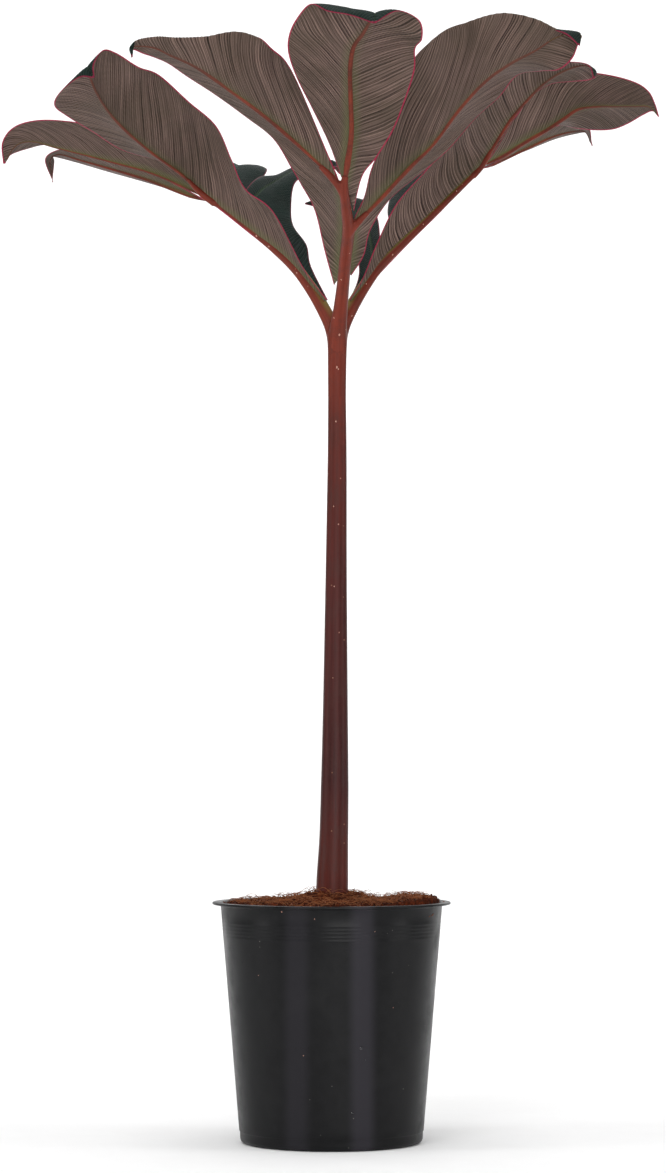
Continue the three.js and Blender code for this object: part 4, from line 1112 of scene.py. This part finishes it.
LEAFLETS["leaflet_right_upper"] = {
    "ridge": 1.8,
    "rib": [
        (12.5, 596, 4), (30, 616.5, 14), (54, 642, 27), (80, 668, 41), (108, 698.5, 53), (117.5, 714, 38),
        (129, 732, 16), (141, 746, -4), (153, 758, -22), (166, 766.5, -40), (179, 771, -55),
        (187.5, 769.5, -65), (189, 761.5, -70),
    ],
    "first": [
        (11.6, 599.5, 1), (22.5, 617, 2), (33, 643, 10), (47, 671, 14), (68, 695, 18), (86, 716, 10),
        (104, 738, -4), (121, 755, -18), (139, 768, -34), (157, 772.5, -48), (173, 773.5, -60),
        (185, 771, -67), (188.6, 761.5, -70),
    ],
    "second": [
        (13.5, 595, 5), (31, 616, 15), (55, 641.5, 28), (81, 667.5, 42), (109.5, 698, 54), (120, 713, 52),
        (131.5, 732.5, 39), (144, 748.5, 21), (158, 757.5, 1), (172, 759.2, -16), (186, 760.5, -40),
        (191, 764.5, -58), (189.4, 761.5, -70),
    ],
}
LEAFLETS["leaflet_right_outer"] = {
    "ridge": 1.8,
    "rib": [
        (106.8, 697.5, 54.5), (122, 705, 58), (140, 716, 57), (155, 724.5, 53), (167, 732.5, 47),
        (178, 739.5, 36), (192, 741.5, 18), (205, 741.5, -2), (218, 741.5, -20), (229, 741, -34),
        (235.6, 733.5, -42),
    ],
    "first": [
        (107.5, 698.2, 55), (122, 720, 71), (134, 736, 67), (148, 755, 57), (161, 765, 38), (184, 766, 18),
        (203, 763.5, -4), (219.5, 758.5, -22), (228.5, 752, -34), (232.8, 743.5, -40), (235.9, 733.5, -42),
    ],
    "second": [
        (107.3, 697, 55.5), (126, 708, 77), (146, 719.8, 82), (162, 727.5, 77), (176, 725.5, 66),
        (190, 724, 50), (203, 724.7, 30), (214, 729, 8), (224, 734.8, -16), (231.3, 737.7, -34),
        (235.3, 733.5, -42),
    ],
}
LEAFLETS["leaflet_right_under"] = {
    "ridge": 1.9,
    "rib": [
        (105.5, 695.3, 53.5), (123, 703.5, 80), (141, 711.8, 100), (158, 719.5, 116), (173, 723.5, 134),
        (183, 723, 150), (187.6, 712.5, 158),
    ],
    "first": [
        (106, 694.9, 53.5), (127, 705.6, 74), (145, 719, 92), (161, 727, 102), (177, 729.5, 114),
        (185.5, 725.3, 130), (187.2, 712.5, 157.5),
    ],
    "first_fold": [
        None, (125, 704.5, 77), (143, 715.4, 96), (159.5, 723.2, 109), (175, 726.5, 124),
        (184.2, 724.1, 140), None,
    ],
    "second": [
        (105, 695.5, 54.3), (122, 702.4, 106), (141, 709.6, 132), (160, 717.3, 148), (175, 721.3, 160),
        (184.5, 721.8, 166), (188, 712.5, 158.5),
    ],
    "second_fold": [
        None, (122.5, 703, 93), (141, 710.7, 116), (159, 718.4, 132), (174, 722.4, 147), (183.8, 722.4, 158),
        None,
    ],
}
LEAFLETS["leaflet_right_inner"] = {
    "ridge": 1.9,
    "rib": [
        (13, 595.5, 6), (22, 608, 14), (30, 619, 20), (29.5, 632, 37), (28, 645, 58), (25, 655, 81),
        (20, 663, 104), (12, 668.5, 128), (2, 672, 150), (-9, 673, 168), (-19.3, 671, 180),
    ],
    "first": [
        (14, 595, 6), (23, 607.5, 14), (33, 621, 21), (34.5, 636, 38), (34.8, 649, 60), (33, 661, 86),
        (28, 671, 112), (19, 674.8, 138), (8, 676, 158), (-6, 675.5, 172), (-19, 671.5, 180),
    ],
    "second": [
        (12, 600, 8), (18, 613, 16), (19.8, 623, 24), (18, 633, 41), (15, 642, 61), (11, 650, 82),
        (6, 656, 104), (0, 661, 126), (-5, 665, 148), (-12, 668.5, 168), (-19.3, 670.5, 180),
    ],
}
LEAFLETS["leaflet_right_rear"] = {
    "ridge": 1.9,
    "rib": [
        (74, 664.3, 39), (73, 671, 64), (70, 680, 92), (66, 689, 120), (63, 696, 148), (61, 699, 172),
        (60, 692, 190),
    ],
    "first": [
        (72.8, 663.5, 39), (58, 658, 60), (43, 658, 82), (40.5, 668, 108), (45, 682, 138), (52, 692, 166),
        (59.5, 692, 190),
    ],
    "second": [
        (75.2, 665.2, 39.5), (86, 677, 66), (94, 690, 96), (94, 701, 124), (87, 706, 150), (75, 703, 174),
        (60.5, 692, 190),
    ],
}
print(len(LEAFLETS), "leaflets, from", sum(len(lines["rib"]) for lines in LEAFLETS.values()), "rib points")

# %% Leaf finishes
UNDER_TONES = ((0.0105, 0.0055, 0.005), (0.31, 0.207, 0.171))
UNDER_GRAIN = (0.095, 0.07, 0.058)
UNDER_CLOUD = (0.042, 0.034, 0.02)
UNDER_GREEN = (0.1, 0.11, 0.042)
RIB_TONES = ((0.075, 0.02, 0.014), (0.18, 0.034, 0.019))
RIB_END = (0.085, 0.042, 0.031)
MARGIN_RED = (0.3, 0.02, 0.055)
UPPER_TONES = ((0.0035, 0.007, 0.0055), (0.009, 0.019, 0.0155))
UPPER_VEIN = (0.035, 0.06, 0.05)
UPPER_RIB = (0.05, 0.075, 0.04)
UPPER_MARGIN = (0.16, 0.015, 0.035)
MARGIN_WIDTH = (0.55, 1.1)  # millimetres from the edge, where the margin starts and ends to fade
RIB_WIDTH = (0.85, 1.15)  # the same from the rib, as shares of its own half width
MAIN_VEINS, FINE_VEINS = 0.42, 0.5
UPPER_VEINS, UPPER_RIBS = 0.35, 0.5


def leaf_parts(tree, place, width, wander):
    """What both faces of a leaf read: its veins, its margin and its rib."""
    veins = put(tree, "ShaderNodeGroup", node_tree=vein_group, Place=place, Vein=attribute(tree, "vein"),
                Across=attribute(tree, "across_mm"), Width=width, Wander=wander).outputs
    margin = remap(tree, attribute(tree, "edge_mm"), *MARGIN_WIDTH, 1.0, 0.0)
    rib = remap(tree, attribute(tree, "rib_share"), *RIB_WIDTH, 1.0, 0.0)
    return veins, margin, rib


under_finish, tree, place, grain = material("leaf_underside", 500.0, 0.45, 0.62, Specular_IOR_Level=0.08)
veins, margin, rib = leaf_parts(tree, place, 0.5, 0.8)
vein_share = math_node(tree, "MULTIPLY_ADD", veins["Vein mask"], MAIN_VEINS,
                       math_node(tree, "MULTIPLY", veins["Fine mask"], FINE_VEINS))
near_rib = remap(tree, attribute(tree, "rib_share"), 1.0, 6.0, 0.6, 0.0)
rib_skin = layered(
    tree, blend(tree, grain["Tone"], *RIB_TONES),
    (remap(tree, attribute(tree, "base_share"), 0.0, 0.5, 0.75, 0.0), RIB_END),
    (remap(tree, attribute(tree, "facing_up"), -0.1, 0.35, 0.0, 0.8), UNDER_GREEN),
)
leaf = layered(
    tree, blend(tree, vein_share, *UNDER_TONES),
    (remap(tree, grain["Tone"], 0.2, 0.8, 0.0, 0.3), UNDER_GRAIN),
    (remap(tree, cloud_node(tree, place, 24.0, 3.0), 0.35, 0.7, 0.0, 0.35), UNDER_CLOUD),
    (math_node(tree, "MULTIPLY", near_rib, attribute(tree, "base_share")), UNDER_GREEN),
    (rib, rib_skin),
    (margin, MARGIN_RED),
)
relief = math_node(tree, "MULTIPLY", veins["Height"], math_node(tree, "SUBTRACT", 1.0, rib))
paint(tree, leaf, grain["Roughness"], relief, 0.0005, 0.55)

upper_finish, tree, place, grain = material("leaf_upperside", 420.0, 0.34, 0.48, Specular_IOR_Level=0.06)
veins, margin, rib = leaf_parts(tree, place, 0.4, 0.5)
leaf = layered(
    tree, blend(tree, grain["Tone"], *UPPER_TONES),
    (math_node(tree, "MULTIPLY", veins["Vein mask"], UPPER_VEINS), UPPER_VEIN),
    (math_node(tree, "MULTIPLY", rib, UPPER_RIBS), UPPER_RIB),
    (margin, UPPER_MARGIN),
)
paint(tree, leaf, grain["Roughness"], math_node(tree, "MULTIPLY", veins["Height"], -1.0), 0.0007, 0.6)
print("two leaf finishes")

# %% Leaflet shape
ARCH = 0.09
BLADE_THICKNESS = 0.0007
EDGE_THICKNESS = 0.00035
EDGE_WIDTH = 0.003
EDGE_FADE = 0.004
TIP_CUT = 0.0008
RIDGE_DEPTH = 1.15
RIDGE_TAPER = 0.82
RIDGE_WIDEST = 0.3
RIDGE_MARGIN = 1.1
COLUMN_SPREAD = 0.9
KEEL_ROUNDNESS = 0.75
RIDGE_COLUMNS = 5
GROOVE_DEPTH = 0.35
GROOVE_WIDTH = 0.8
KEEL_RISE = 0.1
KEEL_LEAST = 0.05
BASE_SHARE = 0.012
TIP_SHARE = 0.997
VEIN_SPACING = 3.0
VEIN_SLANT = 0.75
VEIN_BEND = 0.11
PUCKER = 0.00014
ROW_STEP = 0.0014
HALF_COLUMNS = 21
# The share of each rib that lies in a branch of the stalk, where the keel only starts
KEEL_START = {
    "leaflet_left_upper": 0.3, "leaflet_right_upper": 0.3, "leaflet_front_left": 0.36,
    "leaflet_front_right": 0.2, "leaflet_left_inner": 0.18, "leaflet_right_inner": 0.18,
}


def fold_line(ribs, edges, others, folds):
    """Where no fold is given, the half blade arches up by a share of its width."""
    made = []
    for i, rib in enumerate(ribs):
        if folds and folds[i]:
            made.append(seen(folds[i]))
            continue
        ahead = ribs[min(i + 1, len(ribs) - 1)] - ribs[max(i - 1, 0)]
        up = np.cross(ahead, edges[i] - others[i])
        up = up / np.linalg.norm(up) * (1 if up[2] > 0 else -1)
        made.append((rib + edges[i]) / 2 + up * ARCH * np.linalg.norm(rib - edges[i]))
    return made


def half_blade(leaflet, side, other, along, ridge):
    """A grid of points from the rib out to one edge: rows along the blade, columns across it."""
    ribs, edges, others = (np.array([seen(point) for point in leaflet[key]]) for key in ("rib", side, other))
    folds = fold_line(ribs, edges, others, leaflet.get(side + "_fold"))
    rib, edge, fold = (smooth_line(line, along)[:, None] for line in (ribs, edges, folds))
    width = np.linalg.norm(edge - rib, axis=-1)
    ridge_share = np.minimum(RIDGE_WIDEST, RIDGE_MARGIN * ridge / np.maximum(width, 1e-6))
    near = np.linspace(0, 1, RIDGE_COLUMNS + 1)[None, :-1] * ridge_share
    spread = np.linspace(0, 1, HALF_COLUMNS - RIDGE_COLUMNS)[None] ** COLUMN_SPREAD
    far = ridge_share + (1 - ridge_share) * spread
    t = np.hstack([near, far])[:, :, None]
    inner = np.linalg.norm(rib - fold, axis=-1, keepdims=True)
    middle = inner / (inner + np.linalg.norm(fold - edge, axis=-1, keepdims=True))
    from_rib = (t - middle) * (t - 1) / middle
    from_fold = t * (t - 1) / (middle * (middle - 1))
    from_edge = t * (t - middle) / (1 - middle)
    return rib * from_rib + fold * from_fold + edge * from_edge


def leaflet_mesh(name, leaflet):
    """A closed blade with its keel, and the attributes that its finishes read."""
    line = smooth_line([seen(point) for point in leaflet["rib"]], np.linspace(0, 1, 400))
    rows = int(run_length(line)[-1] / ROW_STEP)
    along = np.linspace(BASE_SHARE, TIP_SHARE, rows)
    ridge = (leaflet["ridge"] * MM * (1 - RIDGE_TAPER * along))[:, None]
    first = half_blade(leaflet, "first", "second", along, ridge)
    second = half_blade(leaflet, "second", "first", along, ridge)
    middle = np.concatenate([first[:, :0:-1], second], axis=1)
    columns = middle.shape[1]
    centre = columns // 2
    normal = normalised(np.cross(np.gradient(middle, axis=0), np.gradient(middle, axis=1)))
    if normal[..., 2].sum() < 0:
        normal = -normal
    run_across = run_length(middle, axis=1)
    from_rib = np.abs(run_across - run_across[:, centre:centre + 1])
    from_tip = np.linalg.norm(middle[:, centre] - middle[-1, centre], axis=-1)[:, None]
    from_edge = np.minimum(np.minimum(run_across, run_across[:, -1:] - run_across),
                           np.maximum(from_tip - TIP_CUT, 0.0))
    lean = VEIN_SLANT * from_rib * (1 + from_rib / VEIN_BEND)
    vein = (run_length(middle[:, centre])[:, None] - lean) / (VEIN_SPACING * MM)
    fade = np.clip(from_edge / EDGE_FADE, 0, 1) * np.clip((from_rib - ridge) / EDGE_WIDTH, 0, 1)
    middle = middle + normal * (PUCKER * fade * np.cos(2 * math.pi * vein))[..., None]
    thin = np.clip(from_edge / EDGE_WIDTH, 0, 1)
    thickness = EDGE_THICKNESS + (BLADE_THICKNESS - EDGE_THICKNESS) * thin
    dome = (1 - np.clip(from_rib / ridge, 0, 1) ** 2) ** KEEL_ROUNDNESS
    keel = RIDGE_DEPTH * ridge * dome * thin
    keel *= np.clip((along - KEEL_START.get(name, 0.0)) / KEEL_RISE, KEEL_LEAST, 1)[:, None]
    groove = GROOVE_DEPTH * ridge * np.exp(-((from_rib / (GROOVE_WIDTH * ridge)) ** 2)) * thin
    upper = middle + normal * (thickness / 2 - groove)[..., None]
    lower = middle - normal * (thickness / 2 + keel)[..., None]
    grid = np.arange(rows * columns).reshape(rows, columns)
    below = rows * columns
    corners = [grid[:-1, :-1], grid[:-1, 1:], grid[1:, 1:], grid[1:, :-1]]
    top_faces = np.stack(corners, axis=-1).reshape(-1, 4)
    rim = np.concatenate([grid[0, :], grid[1:, -1], grid[-1, -2::-1], grid[-2:0:-1, 0]])
    after = np.roll(rim, -1)
    rim_faces = np.stack([rim, rim + below, after + below, after], axis=-1)
    faces = np.vstack([top_faces, top_faces[:, ::-1] + below, rim_faces])
    points = np.vstack([upper.reshape(-1, 3), lower.reshape(-1, 3)])
    piece = new_object(name + "_blade", points, faces.tolist(), [upper_finish, under_finish])
    under = np.arange(len(faces)) >= len(top_faces)
    piece.data.polygons.foreach_set("material_index", under.astype(np.int32))
    shape = bmesh.new()
    shape.from_mesh(piece.data)
    if shape.calc_volume(signed=True) < 0:
        bmesh.ops.reverse_faces(shape, faces=shape.faces)
    shape.to_mesh(piece.data)
    shape.free()
    sheet = {
        "vein": vein,
        "edge_mm": from_edge / MM,
        "across_mm": from_rib / MM,
        "rib_share": from_rib / ridge,
        "base_share": np.repeat(np.clip(1.2 - along[:, None] * 1.6, 0, 1), columns, axis=1),
    }
    for key, values in sheet.items():
        point_values(piece, key, np.tile(values.ravel(), 2))
    normals = np.empty(len(points) * 3, dtype=np.float32)
    piece.data.vertex_normals.foreach_get("vector", normals)
    point_values(piece, "facing_up", normals[2::3])
    return piece


for name, leaflet in LEAFLETS.items():
    settle(leaflet_mesh(name, leaflet), "leaf_blade", name)
